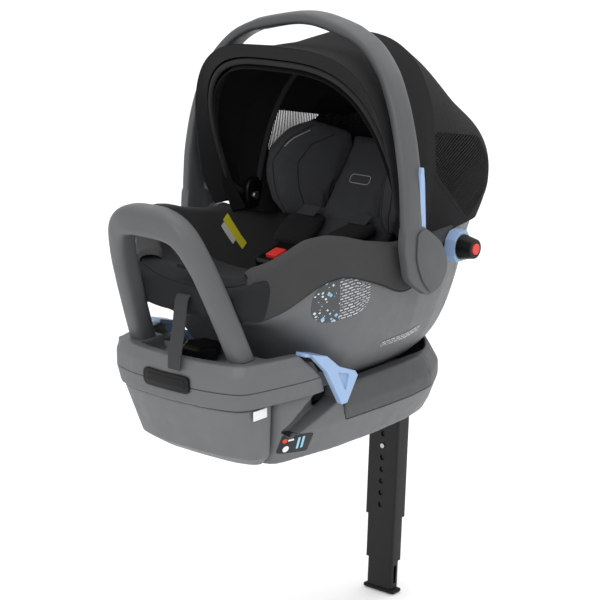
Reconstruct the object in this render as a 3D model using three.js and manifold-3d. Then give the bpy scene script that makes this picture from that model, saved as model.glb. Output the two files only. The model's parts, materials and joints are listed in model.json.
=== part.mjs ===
// Infant car seat on its vehicle base: carrier shell with covers, canopy, carry handle and harness,
// standing on a base with an anti-rebound bar, a recline foot and a folding telescopic load leg.
// Millimetres, +Z up, -Y towards the child's feet, +X the child's left. The origin is on the flat
// underside of the base, on the plane of symmetry, below the handle's axis.
import * as THREE from 'three';
import { mergeVertices } from 'three/addons/utils/BufferGeometryUtils.js';
import Module from 'manifold-3d';

const wasm = await Module();
wasm.setup();

// ---- driving dimensions -------------------------------------------------------------------
const GAP = 0.4; // clearance between neighbouring pieces

// base
const SEAM_Z = 46; // seam between the lower shell and the rear cover
const BRACKET_RECESS = 8; // depth of the underside's recess for the leg bracket
const DECK_Z = 96; // top edge of the rear cover
const RIM_LOW_Z = 99; // seam under the front rim
const RIM_TOP_Z = 165; // top edge of the front rim
const RIM_DECK_Z = 145; // sunk deck inside the front rim
const FOOT_BACK_Y = -238; // rear face of the recline foot
const KNOB_Y = -259; // axis of the recline knob and its screw
const SLEEVE_TOP_Z = 130; // top of the foot's inner sleeve
const LOCKOFF_X = [150, 160]; // plate of each belt lock-off
const LOCKOFF_ARM_X = 132; // inner end of its arm

// load leg
const LEG_Y = 188; // fold hinge of the load leg
const LEG_Z = -20;
const LEG_TILT = THREE.MathUtils.degToRad(-3); // foot end leans towards -Y
const LEG_WIDTH = 60;
const LEG_DEPTH = 30;
const LEG_HOLE_PITCH = 20;
const LEG_HOLES = 7;

// carrier shell
const WALL = 5; // plastic wall
const LINING = 17; // padded cover inside the wall
const LIP = 6; // padded cover outside the wall
const HUB_Y = -6;
const HUB_Z = 270;
const HUB_R = 34;
const POD_END_X = 230; // outer end of each stroller mount's red cap

// handle
const HANDLE_OUT_X = 219;
const HANDLE_THICK = 16;
const HANDLE_HALF_WIDTH = 21;

// canopy
const PIVOT_X = 166;
const PIVOT_Y = 24;
const PIVOT_Z = 317;
const CLOTH = 4;
const FRONT_BOW_INSET = 11; // from the outside of the cloth to the middle of the bow
const MIDDLE_BOW_INSET = 21;

// ---- solids -------------------------------------------------------------------------------
function toSolid(geometry) {
  const bare = geometry.index ? geometry.toNonIndexed() : geometry.clone();
  bare.deleteAttribute('normal');
  bare.deleteAttribute('uv');
  const merged = mergeVertices(bare, 1e-4);
  const vertProperties = new Float32Array(merged.attributes.position.array);
  const triVerts = new Uint32Array(merged.index.array);
  return new wasm.Manifold(new wasm.Mesh({ numProp: 3, vertProperties, triVerts }));
}

function toGeometry(solid) {
  const mesh = solid.getMesh();
  const geometry = new THREE.BufferGeometry();
  geometry.setAttribute('position', new THREE.BufferAttribute(mesh.vertProperties, 3));
  geometry.setIndex(new THREE.BufferAttribute(mesh.triVerts, 1));
  const faceted = geometry.toNonIndexed();
  faceted.computeVertexNormals();
  return faceted;
}

function join(...solids) {
  return solids.reduce((sum, solid) => sum.add(solid));
}

// Mirror image across the plane of symmetry.
function mirrored(solid) {
  const geometry = toGeometry(solid);
  const positions = geometry.attributes.position.array;
  for (let i = 0; i < positions.length; i += 9) {
    for (let k = 0; k < 9; k += 3) positions[i + k] *= -1;
    for (let k = 0; k < 3; k += 1) {
      [positions[i + 3 + k], positions[i + 6 + k]] = [positions[i + 6 + k], positions[i + 3 + k]];
    }
  }
  return toSolid(geometry);
}

// Turned about the origin by degrees [x, y, z], then moved.
function placed(solid, move, degrees = [0, 0, 0]) {
  const angles = degrees.map((angle) => THREE.MathUtils.degToRad(angle));
  const turn = new THREE.Matrix4().makeRotationFromEuler(new THREE.Euler(...angles, 'ZYX'));
  turn.setPosition(...move);
  return toSolid(toGeometry(solid).applyMatrix4(turn));
}

function block(x, y, z) {
  const geometry = new THREE.BoxGeometry(x[1] - x[0], y[1] - y[0], z[1] - z[0]);
  geometry.translate((x[0] + x[1]) / 2, (y[0] + y[1]) / 2, (z[0] + z[1]) / 2);
  return toSolid(geometry);
}

// Outline as a THREE.Shape; `round` is the corner radius.
function outline(points, round = 0) {
  if (round === 0) return new THREE.Shape(points.map(([u, v]) => new THREE.Vector2(u, v)));
  const shape = new THREE.Shape();
  const count = points.length;
  for (let i = 0; i < count; i += 1) {
    const here = new THREE.Vector2(...points[i]);
    const before = new THREE.Vector2(...points[(i + count - 1) % count]);
    const after = new THREE.Vector2(...points[(i + 1) % count]);
    const inward = here.clone().add(before.clone().sub(here).setLength(round));
    const onward = here.clone().add(after.clone().sub(here).setLength(round));
    if (i === 0) shape.moveTo(inward.x, inward.y);
    else shape.lineTo(inward.x, inward.y);
    shape.quadraticCurveTo(here.x, here.y, onward.x, onward.y);
  }
  shape.closePath();
  return shape;
}

function extrude(shape, low, high, bevel, curveSegments) {
  const geometry = new THREE.ExtrudeGeometry(shape, {
    depth: high - low - 2 * bevel,
    bevelEnabled: bevel > 0,
    bevelSize: bevel,
    bevelThickness: bevel,
    bevelOffset: -bevel,
    bevelSegments: 1,
    curveSegments,
  });
  geometry.translate(0, 0, low + bevel);
  return geometry;
}

// Outline in (Y, Z), extruded along X.
function prismX(points, low, high, { round = 0, bevel = 0, curveSegments = 3 } = {}) {
  const geometry = extrude(outline(points, round), low, high, bevel, curveSegments);
  const turn = new THREE.Matrix4().makeBasis(
    new THREE.Vector3(0, 1, 0), new THREE.Vector3(0, 0, 1), new THREE.Vector3(1, 0, 0));
  return toSolid(geometry.applyMatrix4(turn));
}

// Outline in (X, Y), extruded along Z.
function prismZ(points, low, high, { round = 0, bevel = 0, curveSegments = 3 } = {}) {
  return toSolid(extrude(outline(points, round), low, high, bevel, curveSegments));
}

function cylinder(axis, centre, radius, low, high, { sides = 24, topRadius = radius } = {}) {
  const geometry = new THREE.CylinderGeometry(topRadius, radius, high - low, sides);
  geometry.translate(0, (low + high) / 2, 0);
  if (axis === 'x') geometry.rotateZ(-Math.PI / 2).translate(0, centre[0], centre[1]);
  if (axis === 'y') geometry.translate(centre[0], 0, centre[1]);
  if (axis === 'z') geometry.rotateX(Math.PI / 2).translate(centre[0], centre[1], 0);
  return toSolid(geometry);
}

function signedVolume(positions) {
  let volume = 0;
  const [a, b, c] = [new THREE.Vector3(), new THREE.Vector3(), new THREE.Vector3()];
  for (let i = 0; i < positions.length; i += 9) {
    a.fromArray(positions, i);
    b.fromArray(positions, i + 3);
    c.fromArray(positions, i + 6);
    volume += a.dot(b.cross(c)) / 6;
  }
  return volume;
}

// Closed body from a list of corners, three per triangle, turned to face outwards.
function closedSolid(positions) {
  if (signedVolume(positions) < 0) {
    for (let i = 0; i < positions.length; i += 9) {
      for (let k = 0; k < 3; k += 1) {
        [positions[i + 3 + k], positions[i + 6 + k]] = [positions[i + 6 + k], positions[i + 3 + k]];
      }
    }
  }
  const geometry = new THREE.BufferGeometry();
  geometry.setAttribute('position', new THREE.Float32BufferAttribute(positions, 3));
  return toSolid(geometry);
}

// Closed body through rings of equal point counts, with a fan cap at each end.
function loft(rings) {
  const count = rings[0].length;
  const positions = [];
  const triangle = (...corners) => corners.forEach((p) => positions.push(p.x, p.y, p.z));
  for (let r = 0; r + 1 < rings.length; r += 1) {
    for (let i = 0; i < count; i += 1) {
      const j = (i + 1) % count;
      triangle(rings[r][i], rings[r][j], rings[r + 1][j]);
      triangle(rings[r][i], rings[r + 1][j], rings[r + 1][i]);
    }
  }
  for (const [ring, flip] of [[rings[0], true], [rings[rings.length - 1], false]]) {
    const middle = ring.reduce((sum, p) => sum.add(p), new THREE.Vector3()).divideScalar(count);
    for (let i = 0; i < count; i += 1) {
      const j = (i + 1) % count;
      if (flip) triangle(middle, ring[j], ring[i]);
      else triangle(middle, ring[i], ring[j]);
    }
  }
  return closedSolid(positions);
}

// Closed sheet between two grids of points, grid[row][column], joined round their edges.
function sheet(outer, inner) {
  const positions = [];
  const quad = (a, b, c, d) => {
    for (const p of [a, b, c, a, c, d]) positions.push(p.x, p.y, p.z);
  };
  const lastRow = outer.length - 1;
  const lastColumn = outer[0].length - 1;
  for (let r = 0; r < lastRow; r += 1) {
    for (let c = 0; c < lastColumn; c += 1) {
      quad(outer[r][c], outer[r][c + 1], outer[r + 1][c + 1], outer[r + 1][c]);
      quad(inner[r][c], inner[r + 1][c], inner[r + 1][c + 1], inner[r][c + 1]);
    }
    quad(outer[r][0], outer[r + 1][0], inner[r + 1][0], inner[r][0]);
    quad(outer[r + 1][lastColumn], outer[r][lastColumn], inner[r][lastColumn],
      inner[r + 1][lastColumn]);
  }
  for (let c = 0; c < lastColumn; c += 1) {
    quad(outer[0][c + 1], outer[0][c], inner[0][c], inner[0][c + 1]);
    quad(outer[lastRow][c], outer[lastRow][c + 1], inner[lastRow][c + 1], inner[lastRow][c]);
  }
  return closedSolid(positions);
}

// Plan outline at height z with eased corners: half of it as [x, y] from front to back, mirrored.
function planRing(half, z, round = 14) {
  const left = half.filter(([x]) => x > 0).map(([x, y]) => [-x, y]).reverse();
  const corners = [...half, ...left].map(([x, y]) => new THREE.Vector3(x, y, z));
  const count = corners.length;
  return corners.flatMap((here, i) => {
    const before = corners[(i + count - 1) % count];
    const after = corners[(i + 1) % count];
    const inward = Math.min(round, here.distanceTo(before) * 0.4);
    const onward = Math.min(round, here.distanceTo(after) * 0.4);
    const start = here.clone().lerp(before, inward / here.distanceTo(before));
    const end = here.clone().lerp(after, onward / here.distanceTo(after));
    const middle = start.clone().lerp(end, 0.5).lerp(here, 0.5);
    return [start, middle, end];
  });
}

// Body swept along a path of points: `section` gives offsets [along `across`, along Y].
function sweep(path, section) {
  const rings = path.map((centre, i) => {
    const before = path[Math.max(i - 1, 0)];
    const after = path[Math.min(i + 1, path.length - 1)];
    const across = new THREE.Vector3(after.z - before.z, 0, before.x - after.x).normalize();
    return section(i).map(([u, v]) => centre.clone().addScaledVector(across, u)
      .add(new THREE.Vector3(0, v, 0)));
  });
  return loft(rings);
}

// Mirrors half a path, whose last point is on the plane of symmetry.
function mirrorPath(half) {
  const left = half.slice(0, -1).map((p) => new THREE.Vector3(-p.x, p.y, p.z)).reverse();
  return [...half, ...left];
}

// Superellipse section of half sizes a and b.
function ovalSection(a, b, { sides = 12, power = 0.6 } = {}) {
  const points = [];
  for (let k = 0; k < sides; k += 1) {
    const angle = ((k + 0.5) / sides) * 2 * Math.PI;
    const [c, s] = [Math.cos(angle), Math.sin(angle)];
    points.push([Math.sign(c) * Math.abs(c) ** power * a, Math.sign(s) * Math.abs(s) ** power * b]);
  }
  return points;
}

const parts = new THREE.Group();
const FINISHES = {
  greyPlastic: { color: 0x737577, roughness: 0.55, metalness: 0 },
  shellPlastic: { color: 0x66686a, roughness: 0.55, metalness: 0 },
  darkPlastic: { color: 0x58595b, roughness: 0.6, metalness: 0 },
  blackPlastic: { color: 0x1b1c1e, roughness: 0.35, metalness: 0 },
  bluePlastic: { color: 0xb5caea, roughness: 0.45, metalness: 0 },
  redPlastic: { color: 0xc8352c, roughness: 0.4, metalness: 0 },
  whitePlastic: { color: 0xe9eaea, roughness: 0.4, metalness: 0 },
  steel: { color: 0xb9bcc0, roughness: 0.3, metalness: 1 },
  blackMetal: { color: 0x202123, roughness: 0.45, metalness: 0.4 },
  fabric: { color: 0x3d3d3e, roughness: 0.95, metalness: 0 },
  darkFabric: { color: 0x1c1c1d, roughness: 0.95, metalness: 0 },
  webbing: { color: 0x55575a, roughness: 0.9, metalness: 0 },
};

function add(name, solid, finish) {
  const mesh = new THREE.Mesh(toGeometry(solid), new THREE.MeshStandardMaterial(FINISHES[finish]));
  mesh.name = name;
  parts.add(mesh);
}

// Makes the +X piece and its mirror image.
function addPair(name, solid, finish) {
  add(`${name}_left`, solid, finish);
  add(`${name}_right`, mirrored(solid), finish);
}

// ---- carrier shell sections ---------------------------------------------------------------
// [y, half width, underside z, rim z, squareness of the section]
const SHELL_STATIONS = [
  [-290, 46, 234, 268, 0.35],
  [-282, 78, 224, 275, 0.35],
  [-268, 100, 214, 282, 0.35],
  [-250, 124, 206, 292, 0.4],
  [-236, 142, 202, 306, 0.45],
  [-212, 156, 186, 322, 0.55],
  [-180, 170, 140, 326, 0.7],
  [-150, 179, 92, 320, 0.8],
  [-110, 185, 68, 308, 0.85],
  [-50, 188, 62, 296, 0.88],
  [20, 187, 61, 292, 0.88],
  [90, 177, 62, 300, 0.88],
  [150, 158, 66, 322, 0.88],
  [182, 145, 94, 338, 0.88],
  [204, 135, 133, 344, 0.88],
  [222, 131, 182, 348, 0.88],
  [242, 126, 236, 350, 0.85],
  [264, 114, 276, 350, 0.8],
  [281, 96, 306, 346, 0.7],
  [292, 66, 324, 342, 0.6],
];
const SECTION_STEPS = 5;

// U-shaped boat hull, grown by `grow` on its sides, ends and underside and by `lift` on its rim.
function shellSolid(grow, lift) {
  const [front, back] = [SHELL_STATIONS[0][0], SHELL_STATIONS[SHELL_STATIONS.length - 1][0]];
  const middle = (front + back) / 2;
  const stretch = 1 + (2 * grow) / (back - front);
  const rings = SHELL_STATIONS.map(([stationY, halfWidth, low, rim, square]) => {
    const y = middle + (stationY - middle) * stretch;
    const side = halfWidth + grow;
    const ring = [new THREE.Vector3(-side, y, rim + lift)];
    for (let i = -SECTION_STEPS; i <= SECTION_STEPS; i += 1) {
      const angle = (i / SECTION_STEPS) * (Math.PI / 2);
      const across = Math.sign(i) * Math.abs(Math.sin(angle)) ** square;
      const down = Math.max(Math.cos(angle), 1e-9) ** square;
      ring.push(new THREE.Vector3(across * side, y, rim - down * (rim - low + grow)));
    }
    ring.push(new THREE.Vector3(side, y, rim + lift));
    return ring;
  });
  return loft(rings);
}

// ---- recline foot -------------------------------------------------------------------------
const FOOT_HALF_TOP = [[0, -322], [68, -318], [110, -307], [119, -294], [120, -266],
  [120, FOOT_BACK_Y], [0, FOOT_BACK_Y]];
const FOOT_HALF_LOW = [[0, -290], [66, -286], [106, -275], [113, -264], [114, -250],
  [114, FOOT_BACK_Y], [0, FOOT_BACK_Y]];
const FOOT_HALF_BOTTOM = [[0, -262], [62, -260], [88, -252], [94, -246], [96, -242],
  [97, FOOT_BACK_Y], [0, FOOT_BACK_Y]];

// Moves a foot outline inwards by `by`.
function insetHalf(half, by) {
  return half.map(([x, y]) => [Math.max(x - by, 0), y < FOOT_BACK_Y ? y + by : y - by]);
}

// ---- base ---------------------------------------------------------------------------------
const BASE_HALF_BOTTOM = [[0, -236], [96, -236], [112, -226], [129, -120], [132, -30], [128, 60],
  [118, 110], [88, 172], [48, 212], [0, 222]];
const BASE_HALF_SEAM = [[0, -236], [116, -236], [130, -226], [146, -150], [152, -40], [153, 40],
  [145, 103], [108, 170], [56, 218], [0, 234]];
const BASE_HALF_DECK = [[0, -236], [116, -236], [128, -226], [139, -150], [141, -40], [142, 30],
  [136, 92], [101, 157], [52, 205], [0, 221]];
const RIM_HALF_LOW = [[0, -329], [68, -324], [110, -312], [122, -299], [129, -270], [141, -215],
  [146, -176], [142, -120], [120, -113], [0, -113]];
const RIM_HALF_MID = [[0, -334], [70, -329], [114, -317], [128, -302], [135, -272], [147, -215],
  [152, -172], [147, -120], [120, -113], [0, -113]];
const RIM_HALF_TOP = [[0, -328], [68, -323], [110, -311], [124, -296], [131, -268], [145, -212],
  [150, -170], [145, -120], [120, -113], [0, -113]];

const bellyPocket = shellSolid(9, 60);
const bellyClear = shellSolid(3, 60);

function makeBaseLowerShell() {
  const hull = loft([
    planRing(BASE_HALF_BOTTOM, 0),
    planRing(BASE_HALF_BOTTOM.map(([x, y]) => [x * 1.03, y]), 6),
    planRing(BASE_HALF_SEAM, SEAM_Z),
    planRing(BASE_HALF_DECK, RIM_LOW_Z - 1),
  ]);
  const rearTop = block([-200, 200], [-112, 300], [SEAM_Z, 200]);
  const frontHollow = block([-96, 96], [-222, -150], [12, 200]);
  const middleHollow = block([-112, 112], [-146, 150], [12, 200]);
  const beltChannel = prismX([[-230, 52], [-214, 40], [-118, 80], [-118, 110], [-150, 110]], 112, 200);
  let shell = hull.subtract(rearTop).subtract(frontHollow).subtract(middleHollow);
  shell = shell.subtract(beltChannel).subtract(mirrored(beltChannel));
  shell = shell.subtract(block([-42, 42], [162, 300], [-1, BRACKET_RECESS]));
  return shell.subtract(bellyClear);
}

function makeBaseRearCover() {
  const hull = loft([
    planRing(BASE_HALF_SEAM, SEAM_Z + GAP),
    planRing(BASE_HALF_SEAM.map(([x, y]) => [x * 0.995, y]), 66),
    planRing(BASE_HALF_DECK, DECK_Z - 5),
    planRing(BASE_HALF_DECK.map(([x, y]) => [x * 0.965, y * 0.98]), DECK_Z),
  ]);
  const front = block([-200, 200], [-400, -112 + GAP], [0, 200]);
  const pocket = prismZ([[-116, -130], [116, -130], [116, 120], [70, 182], [-70, 182], [-116, 120]],
    0, 200, { round: 20 });
  return hull.subtract(front).subtract(pocket).subtract(bellyClear);
}

function makeBaseFrontRim() {
  const hull = loft([
    planRing(RIM_HALF_LOW, RIM_LOW_Z + GAP),
    planRing(RIM_HALF_MID, 126),
    planRing(RIM_HALF_MID, 150),
    planRing(RIM_HALF_TOP, RIM_TOP_Z),
  ]);
  const inset = RIM_HALF_TOP.map(([x, y]) => [Math.max(x - 15, 0), y < -200 ? y + 15 : y]);
  const sunk = loft([planRing(inset, RIM_DECK_Z), planRing(inset, 220)]);
  const sleeveRoom = insetHalf(FOOT_HALF_TOP, 6);
  const cavity = loft([planRing(sleeveRoom, 0), planRing(sleeveRoom, RIM_DECK_Z - 5)]);
  const rearSlope = prismX([[-206, 220], [-206, 163], [-160, 140], [-112, 99], [-100, 90], [-100, 220]],
    -200, 200);
  const opening = block([-112, 112], [-222, -100], [0, 220]);
  const socket = block([84 - GAP, 106 + GAP], [-292 - GAP, -270 + GAP], [RIM_DECK_Z - 8, 220]);
  const screwHole = cylinder('z', [0, KNOB_Y], 8 + GAP, 0, 220);
  let rim = hull.subtract(sunk).subtract(cavity).subtract(rearSlope).subtract(opening);
  rim = rim.add(block([78, 124], [-304, -252], [RIM_DECK_Z - 12, RIM_TOP_Z]));
  rim = rim.add(block([-124, -78], [-304, -252], [RIM_DECK_Z - 12, RIM_TOP_Z]));
  rim = rim.subtract(socket).subtract(mirrored(socket)).subtract(screwHole);
  const lockoffRoom = prismX([[-214, 176], [-211, 163], [-173, 128], [-139, 70], [-90, 70],
    [-90, 176]], LOCKOFF_ARM_X - 1, LOCKOFF_X[1] + 10);
  const plateRecess = block([-42, 42], [-350, -328 + GAP], [117, 140]);
  rim = rim.subtract(lockoffRoom).subtract(mirrored(lockoffRoom)).subtract(plateRecess);
  return rim.subtract(bellyPocket);
}

function makeReclineFoot() {
  const box = loft([
    planRing(FOOT_HALF_BOTTOM, 0.5),
    planRing(FOOT_HALF_LOW, 18),
    planRing(FOOT_HALF_TOP, RIM_LOW_Z - 1),
  ]);
  const sleeve = loft([
    planRing(insetHalf(FOOT_HALF_TOP, 8), RIM_LOW_Z - 12),
    planRing(insetHalf(FOOT_HALF_TOP, 8), SLEEVE_TOP_Z),
  ]);
  const hollow = loft([
    planRing(insetHalf(FOOT_HALF_LOW, 12), 12),
    planRing(insetHalf(FOOT_HALF_TOP, 12), RIM_LOW_Z - 12),
    planRing(insetHalf(FOOT_HALF_TOP, 12), 200),
  ]);
  const nut = cylinder('z', [0, KNOB_Y], 14, 11, 60);
  const bore = cylinder('z', [0, KNOB_Y], 8 + GAP, 11.5, 300);
  return box.add(sleeve).subtract(hollow).add(nut).subtract(bore);
}

function makeReclineKnob() {
  const lobes = 6;
  const points = [];
  for (let i = 0; i < 36; i += 1) {
    const angle = (i / 36) * 2 * Math.PI;
    const radius = 27 + 2.2 * Math.cos(lobes * angle);
    points.push([radius * Math.cos(angle), KNOB_Y + radius * Math.sin(angle)]);
  }
  return prismZ(points, RIM_DECK_Z + GAP, RIM_DECK_Z + 23, { bevel: 4 });
}

// ---- anti-rebound bar ---------------------------------------------------------------------
const BAR_LEAN = 0.404; // metres towards -Y for each metre of height
const BAR_FOOT_Y = -281;
// [x, z, half thickness] of the middle of the bar
const BAR_HALF = [[95, 166, 14], [90, 210, 14], [84, 256, 14], [77, 298, 14], [67, 330, 16],
  [58, 348, 18], [45, 358, 20], [28, 363, 22], [0, 364, 22]];

function makeAntiReboundBar() {
  const half = BAR_HALF.map(([x, z]) => new THREE.Vector3(x, BAR_FOOT_Y - BAR_LEAN * (z - 166), z));
  half[0].z -= 12;
  const last = BAR_HALF.length - 1;
  const bar = sweep(mirrorPath(half), (i) => ovalSection(BAR_HALF[i <= last ? i : 2 * last - i][2], 18.5));
  const floor = block([-300, 300], [-500, 0], [0, RIM_TOP_Z + GAP]);
  const tongue = block([84, 106], [-292, -270], [RIM_DECK_Z - 7, RIM_TOP_Z + 8]);
  return join(bar.subtract(floor), tongue, mirrored(tongue));
}

function makeReclineIndicator() {
  return block([121, 123], [-286, -258], [82, 96]);
}

// Blank plate let into the front of the rim.
function makeNamePlate() {
  return prismZ([[-41, -332], [-20, -335.6], [20, -335.6], [41, -332], [41, -328], [-41, -328]], 118, 139);
}

function makeReclineScrew() {
  const shaft = cylinder('z', [0, KNOB_Y], 8, 12, RIM_DECK_Z + GAP);
  const collar = cylinder('z', [0, KNOB_Y], 12, RIM_DECK_Z - 9, RIM_DECK_Z - 5 - GAP);
  return shaft.add(collar);
}

// ---- lock-offs, plates and latch cradles --------------------------------------------------

function makeLockoff() {
  const hook = [[-206, 168], [-170, 158], [-142, 136], [-106, 122], [-100, 114], [-124, 78],
    [-136, 78], [-170, 134]];
  const plate = prismX(hook, ...LOCKOFF_X);
  const arm = prismX([[-206, 168], [-176, 160], [-178, 155], [-208, 163]], LOCKOFF_ARM_X, LOCKOFF_X[0] + 1);
  const slot = prismX([[-146, 128], [-120, 120], [-128, 96]], 155, 170);
  return plate.add(arm).subtract(slot);
}

function makeLatchFrame() {
  const cradle = (y) => block([-38, 38], [y - 9, y + 9], [12 + GAP, 56])
    .subtract(block([-60, 60], [y - 4.6, y + 4.6], [47, 80]));
  const spine = block([-14, 14], [-84, 84], [12 + GAP, 24]);
  return join(cradle(-90), cradle(90), spine);
}

// ---- load leg, modelled upright about its fold hinge, then leaned ---------------------------
const LEG_OUTER = [15, -202];
const LEG_TOP_R = 15.2; // top of the outer tube, rounded about the hinge
const LEG_MIDDLE = [-60, -277];
const LEG_INNER = [-150, -325];
const LEG_BUTTON_Z = -82;

function tube(width, depth, wall, [top, bottom]) {
  const half = [width / 2, depth / 2];
  const skin = prismZ([[-half[0], -half[1]], [half[0], -half[1]], [half[0], half[1]],
    [-half[0], half[1]]], bottom, top, { round: 4, curveSegments: 2 });
  const hollow = block([-half[0] + wall, half[0] - wall], [-half[1] + wall, half[1] - wall],
    [bottom - 5, top + 5]);
  return skin.subtract(hollow);
}

function leaned(solid) {
  return placed(solid, [0, LEG_Y, LEG_Z], [THREE.MathUtils.radToDeg(LEG_TILT), 0, 0]);
}

function makeLegOuter() {
  let body = tube(LEG_WIDTH, LEG_DEPTH, 2.2, LEG_OUTER);
  for (let i = 0; i < LEG_HOLES; i += 1) {
    const z = LEG_BUTTON_Z + LEG_HOLE_PITCH * (1 - i);
    body = body.subtract(cylinder('y', [0, z], 4.6, -20, -5, { sides: 12 }));
  }
  const reach = cylinder('x', [0, 0], LEG_TOP_R, -50, 50)
    .add(block([-50, 50], [-50, 50], [LEG_OUTER[1] - 1, 0]));
  const barrel = block([-28, 28], [-9, 9], [-10, 9]);
  return body.intersect(reach).add(barrel).subtract(cylinder('x', [0, 0], 5 + GAP, -50, 50, { sides: 16 }));
}

function makeLegMiddle() {
  const body = tube(55, 25, 2.2, LEG_MIDDLE);
  return body.subtract(cylinder('y', [0, LEG_BUTTON_Z], 4.6, -20, -5, { sides: 12 }));
}

function makeLegButton() {
  const pin = cylinder('y', [0, LEG_BUTTON_Z], 4, -17, -9, { sides: 12 });
  const head = cylinder('y', [0, LEG_BUTTON_Z], 8, -9.5, -7, { sides: 16 });
  return pin.add(head);
}

function makeLegInner() {
  const body = tube(49.8, 19.8, 2.2, LEG_INNER);
  const slot = block([20, 30], [-3, 3], [-316, -286]);
  return body.subtract(slot);
}

function makeLegFoot() {
  const cap = prismZ([[-31, -12], [31, -12], [31, 12], [-31, 12]], LEG_INNER[1] - 6,
    LEG_INNER[1] - GAP, { round: 4, bevel: 1 });
  const plug = block([-22, 22], [-7, 7], [LEG_INNER[1] - 2, LEG_INNER[1] + 14]);
  return cap.add(plug);
}

function makeLegBracket() {
  const top = BRACKET_RECESS - GAP;
  const ear = prismX([[168, top], [210, top], [204, -30], [180, -34]], 31, 37);
  const both = ear.add(mirrored(ear)).add(block([-37, 37], [168, 210], [top - 4, top]));
  const pinHole = cylinder('x', [LEG_Y, LEG_Z], 5 + GAP, -60, 60, { sides: 16 });
  return both.subtract(pinHole).subtract(cylinder('x', [LEG_Y, LEG_Z], 16, -30.5, 30.5));
}

// ---- carrier ------------------------------------------------------------------------------
const COVER_EDGE = [[-400, 200], [-262, 210], [-250, 224], [-204, 261], [-178, 274], [-149, 274],
  [-83, 250], [-37, 228], [0, 232], [36, 262], [80, 292], [140, 306], [200, 330], [260, 352],
  [400, 372], [400, -100], [-400, -100]];

function makeSeatShell() {
  const walls = shellSolid(0, 0).subtract(shellSolid(-WALL, 80));
  const lug = (y) => block([52, 60], [y - 9, y + 9], [44, 92]);
  const lugs = lug(-90).add(lug(90)).subtract(shellSolid(-WALL, 80));
  return join(walls, lugs, mirrored(lugs))
    .subtract(cylinder('x', [-90, 51.5], 4 + GAP, -100, 100, { sides: 12 }))
    .subtract(cylinder('x', [90, 51.5], 4 + GAP, -100, 100, { sides: 12 }));
}

function makeLockBar(y) {
  return cylinder('x', [y, 51.5], 4, -62, 62, { sides: 12 });
}

function makeSeatCover() {
  const wrapped = shellSolid(LIP, LIP).subtract(shellSolid(-WALL - LINING, 80));
  const plastic = shellSolid(GAP, GAP).subtract(shellSolid(-WALL - GAP, 80));
  const bare = prismX(COVER_EDGE, -300, 300).subtract(shellSolid(GAP / 2, GAP / 2));
  const hub = cylinder('x', [HUB_Y, HUB_Z], HUB_R + 1, 178, 260);
  const buttonWell = block([-17, 17], [-297, -275], [278.6, 320]);
  return wrapped.subtract(plastic).subtract(bare).subtract(hub).subtract(mirrored(hub))
    .subtract(buttonWell);
}

function makeHubHousing() {
  const disc = cylinder('x', [HUB_Y, HUB_Z], HUB_R, 150, HANDLE_OUT_X - HANDLE_THICK - GAP);
  const bore = cylinder('x', [HUB_Y, HUB_Z], 6 + GAP, 192, 260, { sides: 16 });
  return disc.subtract(shellSolid(GAP, 60)).subtract(bore);
}

function makeHandlePin() {
  return cylinder('x', [HUB_Y, HUB_Z], 6, 193, 212, { sides: 16 });
}

// body cushion and head cushion
function makeBodyInsert() {
  const side = [[-150, 150], [-128, 196], [-60, 214], [0, 244], [46, 274], [74, 284], [110, 250],
    [80, 190], [30, 120], [-60, 96], [-130, 110]];
  const pad = prismX(side, -92, 92, { round: 8, bevel: 6 });
  const strapSlot = block([-22, 22], [-122, -103], [60, 260]);
  return pad.subtract(strapSlot).intersect(shellSolid(-WALL - LINING - 1, 80));
}

function makeHeadCushion() {
  const side = [[58, 292], [44, 330], [52, 382], [84, 424], [126, 434], [160, 420], [166, 392],
    [120, 300]];
  const pad = prismX(side, -118, 118, { round: 8, bevel: 6 });
  const recess = prismX([[20, 250], [20, 440], [92, 440], [128, 400], [88, 300], [74, 250]], -46, 46);
  return pad.subtract(recess);
}

// harness
function slab(length, width, thick, round) {
  const [a, b] = [length / 2, width / 2];
  return prismZ([[-b, -a], [b, -a], [b, a], [-b, a]], -thick / 2, thick / 2,
    { round, bevel: Math.min(thick / 3, 4) });
}

const PAD_AT = [64, -14, 292];
const PAD_TURN = [17, 0, -18];

function makeShoulderPad() {
  return placed(slab(96, 60, 18, 16), PAD_AT, PAD_TURN);
}

// Webbing between the pad and the slot in the cover, in front of the head cushion.
function makeShoulderStrap() {
  return placed(slab(20, 36, 2.4, 0), [50, 38, 303], [30, 0, -18])
    .subtract(placed(slab(97, 61, 19, 16), PAD_AT, PAD_TURN));
}

function makeBuckle() {
  const body = placed(slab(62, 52, 22, 10), [0, -86, 258], [14, 0, 0]);
  const well = placed(block([-11, 11], [-13, 13], [2, 30]), [0, -92, 258], [14, 0, 0]);
  return body.subtract(well);
}

function makeBuckleButton() {
  return placed(block([-10, 10], [-12, 12], [6.5, 14]), [0, -92, 258], [14, 0, 0]);
}

function makeCrotchStrap() {
  return prismX([[-118, 140], [-112, 140], [-107, 236], [-113, 236]], -19, 19);
}

function makeAdjusterStrap() {
  const route = [[-302, 250], [-306, 238], [-322, 200], [-335, 168], [-336, 150], [-338.2, 150],
    [-337.2, 168], [-324.2, 200], [-308.2, 238], [-303, 252]];
  return prismX(route, 4, 28);
}

function makeAdjusterButton() {
  return block([-16, 16], [-291, -276], [281.6, 288]);
}

// Blue side sockets with a black bumper knob that twists off, and its red end cap.
const POD = [90, 276];

function makePodMount() {
  const plate = prismX([[71, 264], [78, 254], [100, 254], [108, 264], [110, 288], [102, 299],
    [84, 299], [73, 288]], 160, 204);
  return plate.subtract(shellSolid(LIP + GAP, 80)).subtract(cylinder('x', POD, 9 + GAP, 150, 260));
}

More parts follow.
